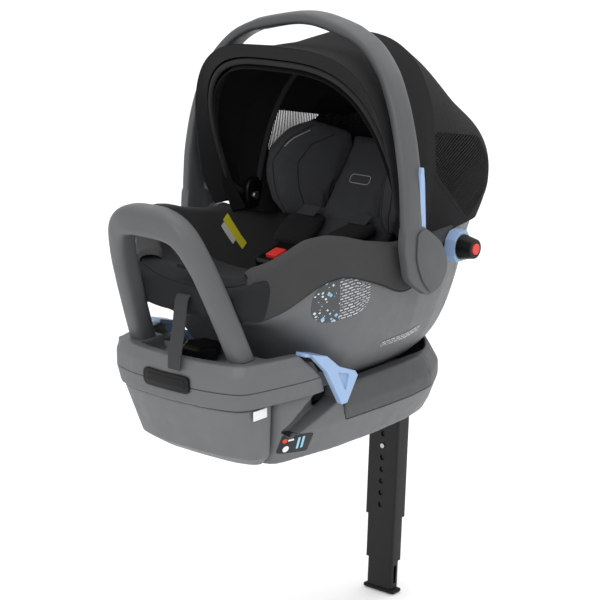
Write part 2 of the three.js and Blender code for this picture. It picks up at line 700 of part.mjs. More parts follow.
function makePodKnob() {
  const cone = cylinder('x', POD, 19.5, 205, POD_END_X - 1.5, { sides: 20, topRadius: 14.5 });
  const stem = cylinder('x', POD, 9, 196, 206, { sides: 16 });
  return cone.add(stem).subtract(cylinder('x', POD, 9, POD_END_X - 4, 260, { sides: 20 }));
}

function makePodCap() {
  return cylinder('x', POD, 8.6, POD_END_X - 3.5, POD_END_X, { sides: 20 });
}

function makeReleaseLever() {
  return prismX([[200, 128], [217, 124], [240, 176], [226, 182]], -38, 38)
    .subtract(shellSolid(GAP, 0));
}

// ---- handle -------------------------------------------------------------------------------
// Outer face of the handle: [x, y of the middle of its width, z].
const HANDLE_HALF = [[219, -46, 300], [218, -45, 345], [215, -44, 395], [205, -42, 448],
  [191, -39, 495], [167, -33, 545], [133, -27, 581], [98, -22, 599], [64, -18, 608],
  [30, -15, 615], [0, -14, 617]];
const HUB_OUTLINE = [[-65, 336], [-68, 303], [-57, 254], [-37, 240], [-8, 222], [18, 232],
  [30, 252], [31, 270], [22, 291], [-24, 330]];

function makeHandle() {
  const inset = HANDLE_THICK / 2;
  const half = HANDLE_HALF.map(([x, y, z]) => {
    const drop = inset * Math.min((HANDLE_OUT_X - x) / 150, 1);
    return new THREE.Vector3(Math.max(x - inset + drop * 0.5, 0), y, z - drop);
  });
  half[half.length - 1].x = 0;
  const band = sweep(mirrorPath(half), (i) => {
    const grip = Math.abs(i - (HANDLE_HALF.length - 1)) < 3 ? 1.5 : 0;
    return ovalSection(inset + grip, HANDLE_HALF_WIDTH, { power: 0.5 });
  });
  const hub = prismX(HUB_OUTLINE, HANDLE_OUT_X - HANDLE_THICK, HANDLE_OUT_X);
  const bore = cylinder('x', [HUB_Y, HUB_Z], 6 + GAP, 150, 213, { sides: 16 });
  const notch = prismX([[-38, 320], [-39, 404], [-31, 421], [0, 421], [0, 320]], 200, 230);
  return join(band, hub, mirrored(hub)).subtract(bore).subtract(mirrored(bore))
    .subtract(notch).subtract(mirrored(notch));
}

function makeHandleButton() {
  return prismX([[-31, 323], [-33, 404], [-30, 414], [-25, 414], [-22, 390], [-18, 323]], 204.5, 217);
}

function makeHubCover() {
  return prismX([[-40, 318], [-44, 281], [-8, 224], [16, 234], [28, 254], [28, 268], [20, 289],
    [-22, 318]], HANDLE_OUT_X + GAP, HANDLE_OUT_X + 3.5);
}

// ---- canopy -------------------------------------------------------------------------------
// Each arch runs from rim to rim over an apex; `power` is its superellipse exponent.
const OPENING = { half: 176, rim: [-38, 322], top: [-97, 556], power: 0.6 };
const MID_ARCH = { half: 180, rim: [38, 336], top: [102, 577], power: 0.8 };
const FRONT_ARCHES = [OPENING, { half: 188, rim: [-31, 323], top: [-94, 573], power: 0.55 },
  { half: 186, rim: [-8, 326], top: [-34, 565], power: 0.62 },
  { half: 184, rim: [14, 330], top: [34, 566], power: 0.7 }, MID_ARCH];
const REAR_ARCHES = [MID_ARCH, { half: 180, rim: [86, 320], top: [162, 547], power: 0.93 },
  { half: 178, rim: [132, 306], top: [226, 491], power: 0.96 },
  { half: 165, rim: [186, 296], top: [290, 443], power: 0.92 },
  { half: 142, rim: [224, 294], top: [326, 398], power: 0.98 },
  { half: 122, rim: [243, 304], top: [328, 362], power: 0.9 },
  { half: 103, rim: [254, 316], top: [308, 340], power: 0.9 }];
const ARCH_STEPS = 8;

function archPoint({ half, rim, top, power }, step) {
  const angle = (step / ARCH_STEPS) * (Math.PI / 2);
  const across = Math.sign(step) * Math.abs(Math.sin(angle)) ** power;
  const up = Math.max(Math.cos(angle), 1e-9) ** power;
  return new THREE.Vector3(across * half, rim[0] + (top[0] - rim[0]) * up,
    rim[1] + (top[1] - rim[1]) * up);
}

function archRow(arch, inset = 0) {
  const row = [];
  for (let step = -ARCH_STEPS; step <= ARCH_STEPS; step += 1) {
    const point = archPoint(arch, step);
    const inward = new THREE.Vector3(-point.x, arch.rim[0] - point.y, arch.rim[1] - 10 - point.z);
    row.push(point.addScaledVector(inward.normalize(), inset));
  }
  return row;
}

function makeCanopyCloth(arches, depth) {
  return sheet(arches.map((arch) => archRow(arch)), arches.map((arch) => archRow(arch, depth)));
}

// Flat bow under the cloth, from its pivot up along an arch.
function makeBow(arch, inset, pivotX, grow = 0) {
  const half = [];
  for (let step = ARCH_STEPS; step >= 0; step -= 1) {
    const point = archPoint(arch, step);
    const inward = new THREE.Vector3(-point.x, 0, arch.rim[1] - 10 - point.z).normalize();
    half.push(point.addScaledVector(inward, inset));
  }
  half.unshift(new THREE.Vector3(pivotX, PIVOT_Y, PIVOT_Z));
  half[half.length - 1].x = 0;
  return sweep(mirrorPath(half), () => ovalSection(2 + grow, 4 + grow, { sides: 8 }));
}

function makeCanopyPivot() {
  return cylinder('x', [PIVOT_Y, PIVOT_Z], 13, 146, 156, { sides: 20 });
}

function makeCanopyRivet() {
  return cylinder('x', [PIVOT_Y, PIVOT_Z], 6, 141, 146 - GAP, { sides: 16, topRadius: 7 });
}

add('base_lower_shell', makeBaseLowerShell(), 'greyPlastic');
add('base_rear_cover', makeBaseRearCover(), 'darkPlastic');
add('base_front_rim', makeBaseFrontRim(), 'greyPlastic');
add('name_plate', makeNamePlate(), 'blackPlastic');
addPair('recline_indicator', makeReclineIndicator(), 'whitePlastic');
add('base_latch_frame', makeLatchFrame(), 'blackMetal');
add('recline_foot', makeReclineFoot(), 'greyPlastic');
add('recline_knob', makeReclineKnob(), 'blackPlastic');
add('recline_screw', makeReclineScrew(), 'steel');
add('anti_rebound_bar', makeAntiReboundBar(), 'greyPlastic');
addPair('lockoff', makeLockoff(), 'bluePlastic');
add('leg_bracket', makeLegBracket(), 'blackMetal');
add('leg_pivot_pin', cylinder('x', [LEG_Y, LEG_Z], 5, -37.5, 37.5, { sides: 16 }), 'steel');
add('leg_outer_tube', leaned(makeLegOuter()), 'blackMetal');
add('leg_middle_tube', leaned(makeLegMiddle()), 'blackMetal');
add('leg_inner_tube', leaned(makeLegInner()), 'blackMetal');
add('leg_foot_cap', leaned(makeLegFoot()), 'blackPlastic');
add('leg_height_button', leaned(makeLegButton()), 'steel');
add('seat_shell', makeSeatShell(), 'shellPlastic');
add('seat_lock_bar_front', makeLockBar(-90), 'steel');
add('seat_lock_bar_rear', makeLockBar(90), 'steel');
add('seat_cover', makeSeatCover(), 'fabric');
addPair('hub_housing', makeHubHousing(), 'greyPlastic');
addPair('handle_pin', makeHandlePin(), 'steel');
add('body_insert', makeBodyInsert(), 'fabric');
add('head_cushion', makeHeadCushion(), 'fabric');
addPair('shoulder_pad', makeShoulderPad(), 'darkFabric');
addPair('shoulder_strap', makeShoulderStrap(), 'webbing');
add('buckle_housing', makeBuckle(), 'blackPlastic');
add('buckle_button', makeBuckleButton(), 'redPlastic');
add('crotch_strap', makeCrotchStrap(), 'webbing');
add('adjuster_strap', makeAdjusterStrap(), 'webbing');
add('adjuster_button', makeAdjusterButton(), 'greyPlastic');
addPair('pod_mount', makePodMount(), 'bluePlastic');
addPair('pod_knob', makePodKnob(), 'blackPlastic');
addPair('pod_cap', makePodCap(), 'redPlastic');
add('base_release_lever', makeReleaseLever(), 'bluePlastic');
add('handle_bar', makeHandle(), 'greyPlastic');
addPair('handle_button', makeHandleButton(), 'bluePlastic');
addPair('handle_hub_cover', makeHubCover(), 'greyPlastic');
const clothRoom = shellSolid(LIP + 1, LIP + 1);
const middleBowRoom = makeBow(MID_ARCH, MIDDLE_BOW_INSET, PIVOT_X - 6, GAP);
add('canopy_front_cloth', makeCanopyCloth(FRONT_ARCHES, CLOTH), 'fabric');
add('canopy_rear_cloth', makeCanopyCloth(REAR_ARCHES, CLOTH).subtract(clothRoom)
  .subtract(middleBowRoom), 'fabric');
add('canopy_front_bow', makeBow(OPENING, FRONT_BOW_INSET, PIVOT_X), 'blackPlastic');
add('canopy_middle_bow', makeBow(MID_ARCH, MIDDLE_BOW_INSET, PIVOT_X - 6), 'blackPlastic');
addPair('canopy_pivot', makeCanopyPivot(), 'blackPlastic');
addPair('canopy_rivet', makeCanopyRivet(), 'steel');

export default parts;
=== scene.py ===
"""Looks of the infant car seat: shells, soft goods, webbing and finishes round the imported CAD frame."""

import json
import math

import bmesh
import bpy
import numpy as np
from mathutils import Matrix, Vector
from mathutils.bvhtree import BVHTree

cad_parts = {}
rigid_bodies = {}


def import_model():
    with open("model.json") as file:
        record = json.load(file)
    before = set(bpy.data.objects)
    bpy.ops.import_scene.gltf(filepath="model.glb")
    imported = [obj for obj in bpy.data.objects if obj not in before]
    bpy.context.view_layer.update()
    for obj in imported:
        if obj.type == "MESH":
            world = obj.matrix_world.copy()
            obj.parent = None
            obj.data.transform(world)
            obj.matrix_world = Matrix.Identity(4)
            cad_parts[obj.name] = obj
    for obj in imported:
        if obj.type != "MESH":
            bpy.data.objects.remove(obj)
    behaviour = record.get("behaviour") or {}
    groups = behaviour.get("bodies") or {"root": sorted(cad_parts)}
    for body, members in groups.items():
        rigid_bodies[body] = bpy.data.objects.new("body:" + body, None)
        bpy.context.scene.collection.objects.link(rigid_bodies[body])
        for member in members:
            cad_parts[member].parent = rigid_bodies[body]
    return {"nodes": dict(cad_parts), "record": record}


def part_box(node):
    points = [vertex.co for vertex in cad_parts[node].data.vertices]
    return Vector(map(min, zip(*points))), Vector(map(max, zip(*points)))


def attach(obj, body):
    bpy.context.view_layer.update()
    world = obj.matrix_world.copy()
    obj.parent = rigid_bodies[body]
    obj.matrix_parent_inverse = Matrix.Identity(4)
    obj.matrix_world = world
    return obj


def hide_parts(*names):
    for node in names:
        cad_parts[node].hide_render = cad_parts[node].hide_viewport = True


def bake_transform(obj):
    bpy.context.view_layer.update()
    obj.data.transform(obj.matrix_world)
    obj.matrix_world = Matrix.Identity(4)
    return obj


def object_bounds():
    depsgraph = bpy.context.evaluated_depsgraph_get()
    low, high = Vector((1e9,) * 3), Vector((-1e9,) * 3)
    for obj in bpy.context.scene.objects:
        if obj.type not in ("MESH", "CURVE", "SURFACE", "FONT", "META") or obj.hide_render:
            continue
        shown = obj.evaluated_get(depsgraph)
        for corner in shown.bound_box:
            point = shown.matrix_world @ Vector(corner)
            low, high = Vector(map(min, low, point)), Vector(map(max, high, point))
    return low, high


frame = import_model()
cad_low, cad_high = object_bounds()
WINDOW_SIDES = ((52, 366, 0.2, 1), (66, 447, 1, -0.2), (232, 424, 0.1, -1), (204, 340, -1, -0.5),
                (118, 328, -0.6, 0.6))
NODES = frame["nodes"]
BODY_OF = {n: b for b, ns in frame["record"]["behaviour"]["bodies"].items() for n in ns}
MM = 0.001
SIDES = (("left", 1), ("right", -1))


# ---- camera, light and floor ---------------------------------------------------------------
def make_camera():
    """The viewing angle: 40 degrees round from the front, 15 above the horizon."""
    camera = bpy.data.objects.new("camera", bpy.data.cameras.new("camera"))
    bpy.context.scene.collection.objects.link(camera)
    a, e = math.radians(40), math.radians(15)
    back = Vector((math.sin(a) * math.cos(e), -math.cos(a) * math.cos(e), math.sin(e)))
    camera.location = (1.87085, -2.26954, 0.96581)
    camera.rotation_euler = (-back).to_track_quat("-Z", "Y").to_euler()
    camera.data.lens = 120
    camera.data.sensor_width = 36
    camera.data.clip_end = 60
    bpy.context.scene.camera = camera


def make_light():
    scene = bpy.context.scene
    scene.view_settings.view_transform = "Standard"
    world = bpy.data.worlds.new("studio")
    scene.world = world
    world.use_nodes = True
    tree = world.node_tree
    back = tree.nodes["Background"]
    ray = tree.nodes.new("ShaderNodeLightPath").outputs["Is Camera Ray"]
    up = axes(tree, tree.nodes.new("ShaderNodeTexCoord").outputs["Generated"])[2]
    sky = ramp(tree, up, -0.1, 1, 0.62, 1.5)
    link(tree, sums(tree, "MAXIMUM", sky, sums(tree, "MULTIPLY", ray, 1.06)), back.inputs["Strength"])
    back.inputs["Color"].default_value = (1, 1, 1, 1)
    for name, place, size, power in (
        ("key", (-1.6, -2.4, 2.4), 1.6, 3),
        ("front", (1.6, -3.0, 1.7), 1.4, 25),
        ("side", (2.8, -0.2, 1.6), 1.6, 4),
        ("top", (0.2, 0.4, 3.2), 1.8, 9),
        ("rim", (0.6, 2.8, 1.8), 1.4, 6),
    ):
        lamp = bpy.data.lights.new(name, "AREA")
        lamp.energy = power
        lamp.size = size
        light = bpy.data.objects.new(name, lamp)
        light.location = place
        light.rotation_euler = (Vector((0, 0, 0.25)) - Vector(place)).to_track_quat("-Z", "Y").to_euler()
        scene.collection.objects.link(light)


def make_floor():
    z = cad_low.z - 0.001
    bm = bmesh.new()
    bmesh.ops.create_grid(bm, x_segments=4, y_segments=4, size=30)
    bmesh.ops.translate(bm, verts=bm.verts, vec=(0, 0, z))
    floor = new_object("studio_floor", bm)
    material, tree, shader = blank_material("floor_paper")
    colour = noise_colour(tree, (0.93, 0.93, 0.93), 0.01, 3)
    tree.links.new(colour, shader.inputs["Base Color"])
    shader.inputs["Roughness"].default_value = 0.9
    floor.data.materials.append(material)


# ---- meshes --------------------------------------------------------------------------------
def new_object(name, bm_or_mesh):
    if isinstance(bm_or_mesh, bmesh.types.BMesh):
        mesh = bpy.data.meshes.new(name)
        bm_or_mesh.to_mesh(mesh)
        bm_or_mesh.free()
    else:
        mesh = bm_or_mesh
    obj = bpy.data.objects.new(name, mesh)
    bpy.context.scene.collection.objects.link(obj)
    return obj


def shade(obj, angle=None):
    obj.data.shade_smooth()
    if angle is not None:
        obj.data.set_sharp_from_angle(angle=math.radians(angle))


def finish_piece(obj, body, material, stands_for=()):
    obj.data.materials.clear()
    obj.data.materials.append(material)
    if body:
        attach(obj, body)
    if stands_for:
        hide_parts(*stands_for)
    return obj


def baked(obj):
    """Applies the modifiers of obj."""
    mesh = baked_copy(obj)
    obj.modifiers.clear()
    obj.data = mesh
    return obj


def modified(obj, name, kind, **values):
    """Adds a modifier with the values given."""
    made = obj.modifiers.new(name, kind)
    for key, value in values.items():
        setattr(made, key, value)
    return made


def eased_edges(obj, width, segments=3, angle=50):
    """Bevels the edges of obj that are sharper than angle; width in mm."""
    modified(obj, "ease", "BEVEL", width=width * MM, segments=segments, limit_method="ANGLE",
             angle_limit=math.radians(angle))


def thickened(obj, thick, offset):
    """Gives a surface a wall; thick in mm."""
    modified(obj, "skin", "SOLIDIFY", thickness=thick * MM, offset=offset)


def even_mesh(obj, voxel):
    """Remeshes obj evenly; voxel in mm."""
    modified(obj, "even", "REMESH", mode="VOXEL", voxel_size=voxel * MM)


def relaxed(obj, passes):
    """Smooths the mesh of obj."""
    modified(obj, "relax", "SMOOTH", factor=0.5, iterations=passes)


def grid_mesh(name, rows, closed=False, caps=(False, False)):
    """Mesh over a grid of points in mm, rows by columns, with its UVs in metres."""
    points = np.array(rows, float) * MM
    count_r, count_c = points.shape[:2]
    faces = []
    uvs = []
    steps = [np.linalg.norm(np.diff(points, axis=k), axis=2) for k in (0, 1)]
    down = np.concatenate([np.zeros((1, count_c)), np.cumsum(steps[0], 0)])
    down = np.repeat(down.mean(1)[:, None], count_c, 1)
    along = np.concatenate([np.zeros((count_r, 1)), np.cumsum(steps[1], 1)], 1)
    along = along - along.mean(1)[:, None]
    columns = count_c if closed else count_c - 1
    for r in range(count_r - 1):
        for c in range(columns):
            n = (c + 1) % count_c
            corners = ((r, c), (r, n), (r + 1, n), (r + 1, c))
            faces.append(tuple(i * count_c + j for i, j in corners))
            uvs.append([(along[at], down[at]) for at in corners])
    flat = points.reshape(-1, 3).tolist()
    for wanted, r in ((caps[0], 0), (caps[1], count_r - 1)):
        if not wanted:
            continue
        centre = len(flat)
        flat.append(points[r].mean(0).tolist())
        for c in range(columns):
            n = (c + 1) % count_c
            corner = (centre, r * count_c + n, r * count_c + c)
            faces.append(corner if r == 0 else corner[::-1])
            uvs.append([(0, 0), (0.001, 0), (0, 0.001)])
    mesh = bpy.data.meshes.new(name)
    mesh.from_pydata(flat, [], faces)
    layer = mesh.uv_layers.new(name="cloth")
    layer.data.foreach_set("uv", [x for face in uvs for uv in face for x in uv])
    bm = bmesh.new()
    bm.from_mesh(mesh)
    bmesh.ops.remove_doubles(bm, verts=bm.verts, dist=1e-6)
    bmesh.ops.recalc_face_normals(bm, faces=bm.faces)
    bm.to_mesh(mesh)
    bm.free()
    return mesh


def solid(name, rows):
    """Closed form through rings of points in mm."""
    return new_object(name, grid_mesh(name, rows, closed=True, caps=(True, True)))


def eased(values, passes):
    """Rows of values smoothed along the first axis, with both ends kept."""
    values = np.array(values, float)
    for _ in range(passes):
        values[1:-1] = (values[:-2] + 2 * values[1:-1] + values[2:]) / 4
    return values


def resampled(points, count, passes=0):
    """Points spread evenly along a polyline, then smoothed."""
    points = np.array(points, float)
    steps = np.concatenate([[0], np.cumsum(np.linalg.norm(np.diff(points, axis=0), axis=1))])
    at = np.linspace(0, steps[-1], count)
    out = np.stack([np.interp(at, steps, points[:, k]) for k in range(points.shape[1])], 1)
    return eased(out, passes)


def tube_rows(path, radius, sides=10, flat=1.0, up=(0, 0, 1)):
    """Rings round a path in mm. flat squeezes the ring along the second axis."""
    path = np.array(path, float)
    tangent = np.gradient(path, axis=0)
    tangent /= np.linalg.norm(tangent, axis=1)[:, None]
    side = np.cross(tangent, np.array(up, float))
    side /= np.maximum(np.linalg.norm(side, axis=1)[:, None], 1e-9)
    third = np.cross(side, tangent)
    rows = []
    for i, centre in enumerate(path):
        r = radius[i] if hasattr(radius, "__len__") else radius
        ring = []
        for k in range(sides):
            a = 2 * math.pi * k / sides
            ring.append(centre + side[i] * r * math.cos(a) + third[i] * r * flat * math.sin(a))
        rows.append(ring)
    return rows


def tube(name, path, radius, sides=10, flat=1.0, up=(0, 0, 1)):
    return solid(name, tube_rows(path, radius, sides, flat, up))


STRAP_EDGE = ((-1, 0.35), (-0.97, 0.8), (-0.86, 1), (-0.4, 1), (0, 1), (0.4, 1), (0.86, 1), (0.97, 0.8),
              (1, 0.35))


def strap_rows(path, width, thick, across=(1, 0, 0)):
    """Flat webbing along a path, with rounded selvedges."""
    path = np.array(path, float)
    tangent = np.gradient(path, axis=0)
    tangent /= np.linalg.norm(tangent, axis=1)[:, None]
    rows = []
    for i, centre in enumerate(path):
        side = np.array(across, float)
        side -= tangent[i] * (side @ tangent[i])
        side /= np.linalg.norm(side)
        normal = np.cross(side, tangent[i])
        ring = []
        for u, v in STRAP_EDGE:
            ring.append(centre + side * u * width / 2 + normal * v * thick / 2)
        for u, v in STRAP_EDGE[::-1]:
            ring.append(centre + side * u * width / 2 - normal * v * thick / 2)
        rows.append(ring)
    return rows


def joined(name, objects):
    """Objects merged into one."""
    bm = bmesh.new()
    for obj in objects:
        part = baked(obj).data.copy()
        part.transform(obj.matrix_world)
        bm.from_mesh(part)
        bpy.data.objects.remove(obj)
    return new_object(name, bm)


def on_side(points, sign):
    """Points of the left side, or their mirror image on the right one."""
    return [[sign * x, y, z] for x, y, z in points]


def mirrored_whole(half):
    """A path given from one end to its middle, with its mirror image added."""
    return half + [[-p[0], *p[1:]] for p in half[:-1][::-1]]


def superellipse(a, b, sides, power):
    points = []
    for k in range(sides):
        t = 2 * math.pi * k / sides
        c, s = math.cos(t), math.sin(t)
        points.append((math.copysign(abs(c) ** power * a, c), math.copysign(abs(s) ** power * b, s)))
    return points


# ---- materials -----------------------------------------------------------------------------
def blank_material(name):
    material = bpy.data.materials.new(name)
    material.use_nodes = True
    return material, material.node_tree, material.node_tree.nodes["Principled BSDF"]


def node(tree, kind, **inputs):
    made = tree.nodes.new(kind)
    for key, value in inputs.items():
        if hasattr(made, key):
            setattr(made, key, value)
        else:
            made.inputs[key.replace("_", " ")].default_value = value
    return made


def link(tree, start, end):
    tree.links.new(start, end)


def coordinates(tree, uv=False):
    return tree.nodes.new("ShaderNodeTexCoord").outputs["UV" if uv else "Object"]


def axes(tree, place):
    """The X, Y and Z of a place."""
    spread = tree.nodes.new("ShaderNodeSeparateXYZ")
    link(tree, place, spread.inputs[0])
    return spread.outputs


def given(shader, **values):
    """Sets inputs of the shader by name."""
    for key, value in values.items():
        shader.inputs[key.replace("_", " ")].default_value = value


def noise(tree, place, scale, detail=3.0, rough=0.5):
    made = node(tree, "ShaderNodeTexNoise", Scale=scale, Detail=detail, Roughness=rough)
    link(tree, place, made.inputs["Vector"])
    return made.outputs["Fac"]


def ramp(tree, value, low, high, out_low=0.0, out_high=1.0):
    made = node(tree, "ShaderNodeMapRange", From_Min=low, From_Max=high, To_Min=out_low, To_Max=out_high)
    link(tree, value, made.inputs["Value"])
    return made.outputs["Result"]


def sums(tree, operation, a, b):
    made = node(tree, "ShaderNodeMath", operation=operation)
    for i, value in enumerate((a, b)):
        if isinstance(value, (int, float)):
            made.inputs[i].default_value = value
        else:
            link(tree, value, made.inputs[i])
    return made.outputs[0]


def mixed(tree, factor, a, b):
    made = tree.nodes.new("ShaderNodeMix")
    made.data_type = "RGBA"
    for key, value in ((0, factor), (6, a), (7, b)):
        if isinstance(value, (int, float)):
            made.inputs[key].default_value = value
        elif isinstance(value, tuple):
            made.inputs[key].default_value = (*value, 1)
        else:
            link(tree, value, made.inputs[key])
    return made.outputs[2]


def shaded(colour, factor):
    return tuple(min(c * factor, 1.0) for c in colour)


def srgb(code):
    out = []
    for i in (0, 2, 4):
        c = int(code[i:i + 2], 16) / 255
        out.append(c / 12.92 if c <= 0.04045 else ((c + 0.055) / 1.055) ** 2.4)
    return tuple(out)


def noise_colour(tree, colour, spread, scale):
    place = coordinates(tree)
    value = ramp(tree, noise(tree, place, scale, 4), 0.3, 0.7)
    return mixed(tree, value, shaded(colour, 1 - spread), shaded(colour, 1 + spread))


def bump_from(tree, height, strength, distance):
    made = node(tree, "ShaderNodeBump", Strength=strength, Distance=distance)
    link(tree, height, made.inputs["Height"])
    return made.outputs["Normal"]


def seam_lines(tree, place, heights, width):
    """Mask of thin level lines at the heights given in mm."""
    axis = axes(tree, place)
    mask = 0.0
    for height in heights:
        off = sums(tree, "ABSOLUTE", sums(tree, "SUBTRACT", axis[2], height * MM), 0)
        mask = sums(tree, "MAXIMUM", ramp(tree, off, width * 0.4 * MM, width * MM, 1, 0), mask)
    return mask


def plastic(name, code, rough=0.5, grain=1500, depth=0.35, edge_highlight=0.25, seams=(), shine=0.45):
    """Moulded plastic: fine spark texture, slow tone change, and a painted highlight that lightens its convex
    edges.
    """
    material, tree, shader = blank_material(name)
    colour = srgb(code)
    place = coordinates(tree)
    slow = ramp(tree, noise(tree, place, 9, 4), 0.3, 0.7)
    base = mixed(tree, slow, shaded(colour, 0.95), shaded(colour, 1.05))
    speck = ramp(tree, noise(tree, place, grain * 0.6, 2), 0.62, 0.75, 0, 0.5)
    base = mixed(tree, speck, base, shaded(colour, 1.12))
    # painted highlight: convex edges, found by pointiness, are lightened towards 1.35 times the colour
    edge = tree.nodes.new("ShaderNodeNewGeometry").outputs["Pointiness"]
    wear_and_highlight = sums(tree, "MULTIPLY", ramp(tree, edge, 0.53, 0.6), edge_highlight)
    base = mixed(tree, wear_and_highlight, base, shaded(colour, 1.35))
    link(tree, base, shader.inputs["Base Color"])
    gloss = ramp(tree, noise(tree, place, 60, 4), 0.3, 0.7, rough - 0.05, rough + 0.07)
    link(tree, gloss, shader.inputs["Roughness"])
    shader.inputs["Specular IOR Level"].default_value = shine
    spark = bump_from(tree, noise(tree, place, grain, 3, 0.6), depth, 0.00012)
    if seams:
        mask = seam_lines(tree, place, seams, 1.0)
        link(tree, mixed(tree, mask, base, shaded(colour, 0.2)), shader.inputs["Base Color"])
        groove = node(tree, "ShaderNodeBump", Strength=1.0, Distance=-0.001)
        link(tree, mask, groove.inputs["Height"])
        link(tree, spark, groove.inputs["Normal"])
        spark = groove.outputs["Normal"]
    link(tree, spark, shader.inputs["Normal"])
    return material


def fabric(name, code, thread=0.0011, uv=True, depth=0.7, melange=0.16):
    """Woven cloth: over-and-under threads, mixed yarn shades and soft pressed patches."""
    material, tree, shader = blank_material(name)
    colour = srgb(code)
    place = coordinates(tree, uv)
    axis = axes(tree, place)
    turns = 2 * math.pi / thread
    warp = sums(tree, "SINE", sums(tree, "MULTIPLY", axis[0], turns), 0)
    across = axis[1] if uv else sums(tree, "ADD", axis[1], axis[2])
    weft = sums(tree, "SINE", sums(tree, "MULTIPLY", across, turns), 0)
    weave = ramp(tree, sums(tree, "MULTIPLY", warp, weft), -1, 1)
    yarn = ramp(tree, noise(tree, place, 0.7 / thread, 2, 0.7), 0.35, 0.65)
    tone = sums(tree, "ADD", sums(tree, "MULTIPLY", weave, 0.45), sums(tree, "MULTIPLY", yarn, 0.55))
    base = mixed(tree, tone, shaded(colour, 1 - melange), shaded(colour, 1 + melange))
    pressed = ramp(tree, noise(tree, coordinates(tree), 16, 3), 0.35, 0.7)
    base = mixed(tree, sums(tree, "MULTIPLY", pressed, 0.22), base, shaded(colour, 0.72))
    link(tree, base, shader.inputs["Base Color"])
    given(shader, Roughness=0.92, Sheen_Weight=0.03, Sheen_Roughness=0.5, Specular_IOR_Level=0.1)
    height = sums(tree, "ADD", weave, sums(tree, "MULTIPLY", yarn, 0.5))
    creases = noise(tree, coordinates(tree), 38, 3, 0.55)
    fine = bump_from(tree, height, depth, 0.0002)
    soft = node(tree, "ShaderNodeBump", Strength=0.25, Distance=0.0012)
    link(tree, creases, soft.inputs["Height"])
    link(tree, fine, soft.inputs["Normal"])
    link(tree, soft.outputs["Normal"], shader.inputs["Normal"])
    return material


def window_mask(tree):
    """1 inside the net window of the canopy's sides, by the place on the cloth in Y and Z."""
    axis = axes(tree, coordinates(tree))
    inside = 1.0
    for y, z, along_y, along_z in WINDOW_SIDES:
        size = math.hypot(along_y, along_z)
        dy = sums(tree, "MULTIPLY", sums(tree, "SUBTRACT", axis[1], y * MM), along_z / size / MM)
        dz = sums(tree, "MULTIPLY", sums(tree, "SUBTRACT", axis[2], z * MM), -along_y / size / MM)
        side = sums(tree, "ADD", dy, dz)
        smooth = node(tree, "ShaderNodeMath", operation="SMOOTH_MIN")
        link(tree, side, smooth.inputs[0])
        if isinstance(inside, float):
            smooth.inputs[1].default_value = 60
        else:
            link(tree, inside, smooth.inputs[1])
        smooth.inputs[2].default_value = 16
        inside = smooth.outputs[0]
    wide = sums(tree, "GREATER_THAN", sums(tree, "ABSOLUTE", axis[0], 0), 0.1)
    return inside, wide


def windowed(material, net):
    """Opens the canopy's side window: through a slanting net, or clear through the lining."""
    tree = material.node_tree
    shader = tree.nodes["Principled BSDF"]
    inside, wide = window_mask(tree)
    opened = sums(tree, "MULTIPLY", sums(tree, "GREATER_THAN", inside, 0), wide)
    hole = opened
    if net:
        axis = axes(tree, coordinates(tree, True))
        slant = sums(tree, "ADD", axis[0], axis[1])
        slots = sums(tree, "FRACT", sums(tree, "DIVIDE", slant, 0.0054), 0)
        hole = sums(tree, "MULTIPLY", opened, sums(tree, "GREATER_THAN", slots, 0.45))
    link(tree, sums(tree, "SUBTRACT", 1, hole), shader.inputs["Alpha"])
    edge = ramp(tree, sums(tree, "ABSOLUTE", sums(tree, "ADD", inside, 3.5), 0), 2.6, 3.4, 1, 0)
    edge = sums(tree, "MULTIPLY", edge, wide)
    fine = shader.inputs["Normal"].links[0].from_socket
    raised = node(tree, "ShaderNodeBump", Strength=0.9, Distance=0.0012)
    link(tree, edge, raised.inputs["Height"])
    link(tree, fine, raised.inputs["Normal"])
    link(tree, raised.outputs["Normal"], shader.inputs["Normal"])
    return material


def webbing(name, code):
    """Narrow woven webbing: ribs across the strap, cords along it and a light fuzz."""
    material, tree, shader = blank_material(name)
    colour = srgb(code)
    place = coordinates(tree, True)
    axis = axes(tree, place)
    turns = 2 * math.pi / 0.0016
    ribs = sums(tree, "SINE", sums(tree, "MULTIPLY", axis[1], turns), 0)
    cords = sums(tree, "SINE", sums(tree, "MULTIPLY", axis[0], turns * 0.6), 0)
    weave = ramp(tree, sums(tree, "ADD", ribs, sums(tree, "MULTIPLY", cords, 0.6)), -1.6, 1.6)
    fuzz = noise(tree, place, 900, 3, 0.6)
    base = mixed(tree, weave, shaded(colour, 0.72), shaded(colour, 1.2))
    base = mixed(tree, ramp(tree, fuzz, 0.55, 0.75, 0, 0.35), base, shaded(colour, 1.5))
    link(tree, base, shader.inputs["Base Color"])
    shader.inputs["Roughness"].default_value = 0.8
    link(tree, bump_from(tree, weave, 0.8, 0.0004), shader.inputs["Normal"])
    return material


def metal(name, code, rough=0.32, brushed=True, metallic=1.0):
    material, tree, shader = blank_material(name)
    colour = srgb(code)
    place = coordinates(tree)
    stretch = node(tree, "ShaderNodeMapping")
    stretch.inputs["Scale"].default_value = (1, 1, 0.04) if brushed else (1, 1, 1)
    link(tree, place, stretch.inputs["Vector"])
    lines = noise(tree, stretch.outputs[0], 1400 if brushed else 700, 4, 0.6)
    base = mixed(tree, ramp(tree, lines, 0.3, 0.7), shaded(colour, 0.88), shaded(colour, 1.1))
    scuffs = ramp(tree, noise(tree, place, 45, 5, 0.7), 0.62, 0.72, 0, 0.35)
    base = mixed(tree, scuffs, base, shaded(colour, 1.5))
    link(tree, base, shader.inputs["Base Color"])
    shader.inputs["Metallic"].default_value = metallic
    link(tree, ramp(tree, lines, 0.3, 0.7, rough - 0.07, rough + 0.1), shader.inputs["Roughness"])
    link(tree, bump_from(tree, lines, 0.25, 0.00008), shader.inputs["Normal"])
    return material


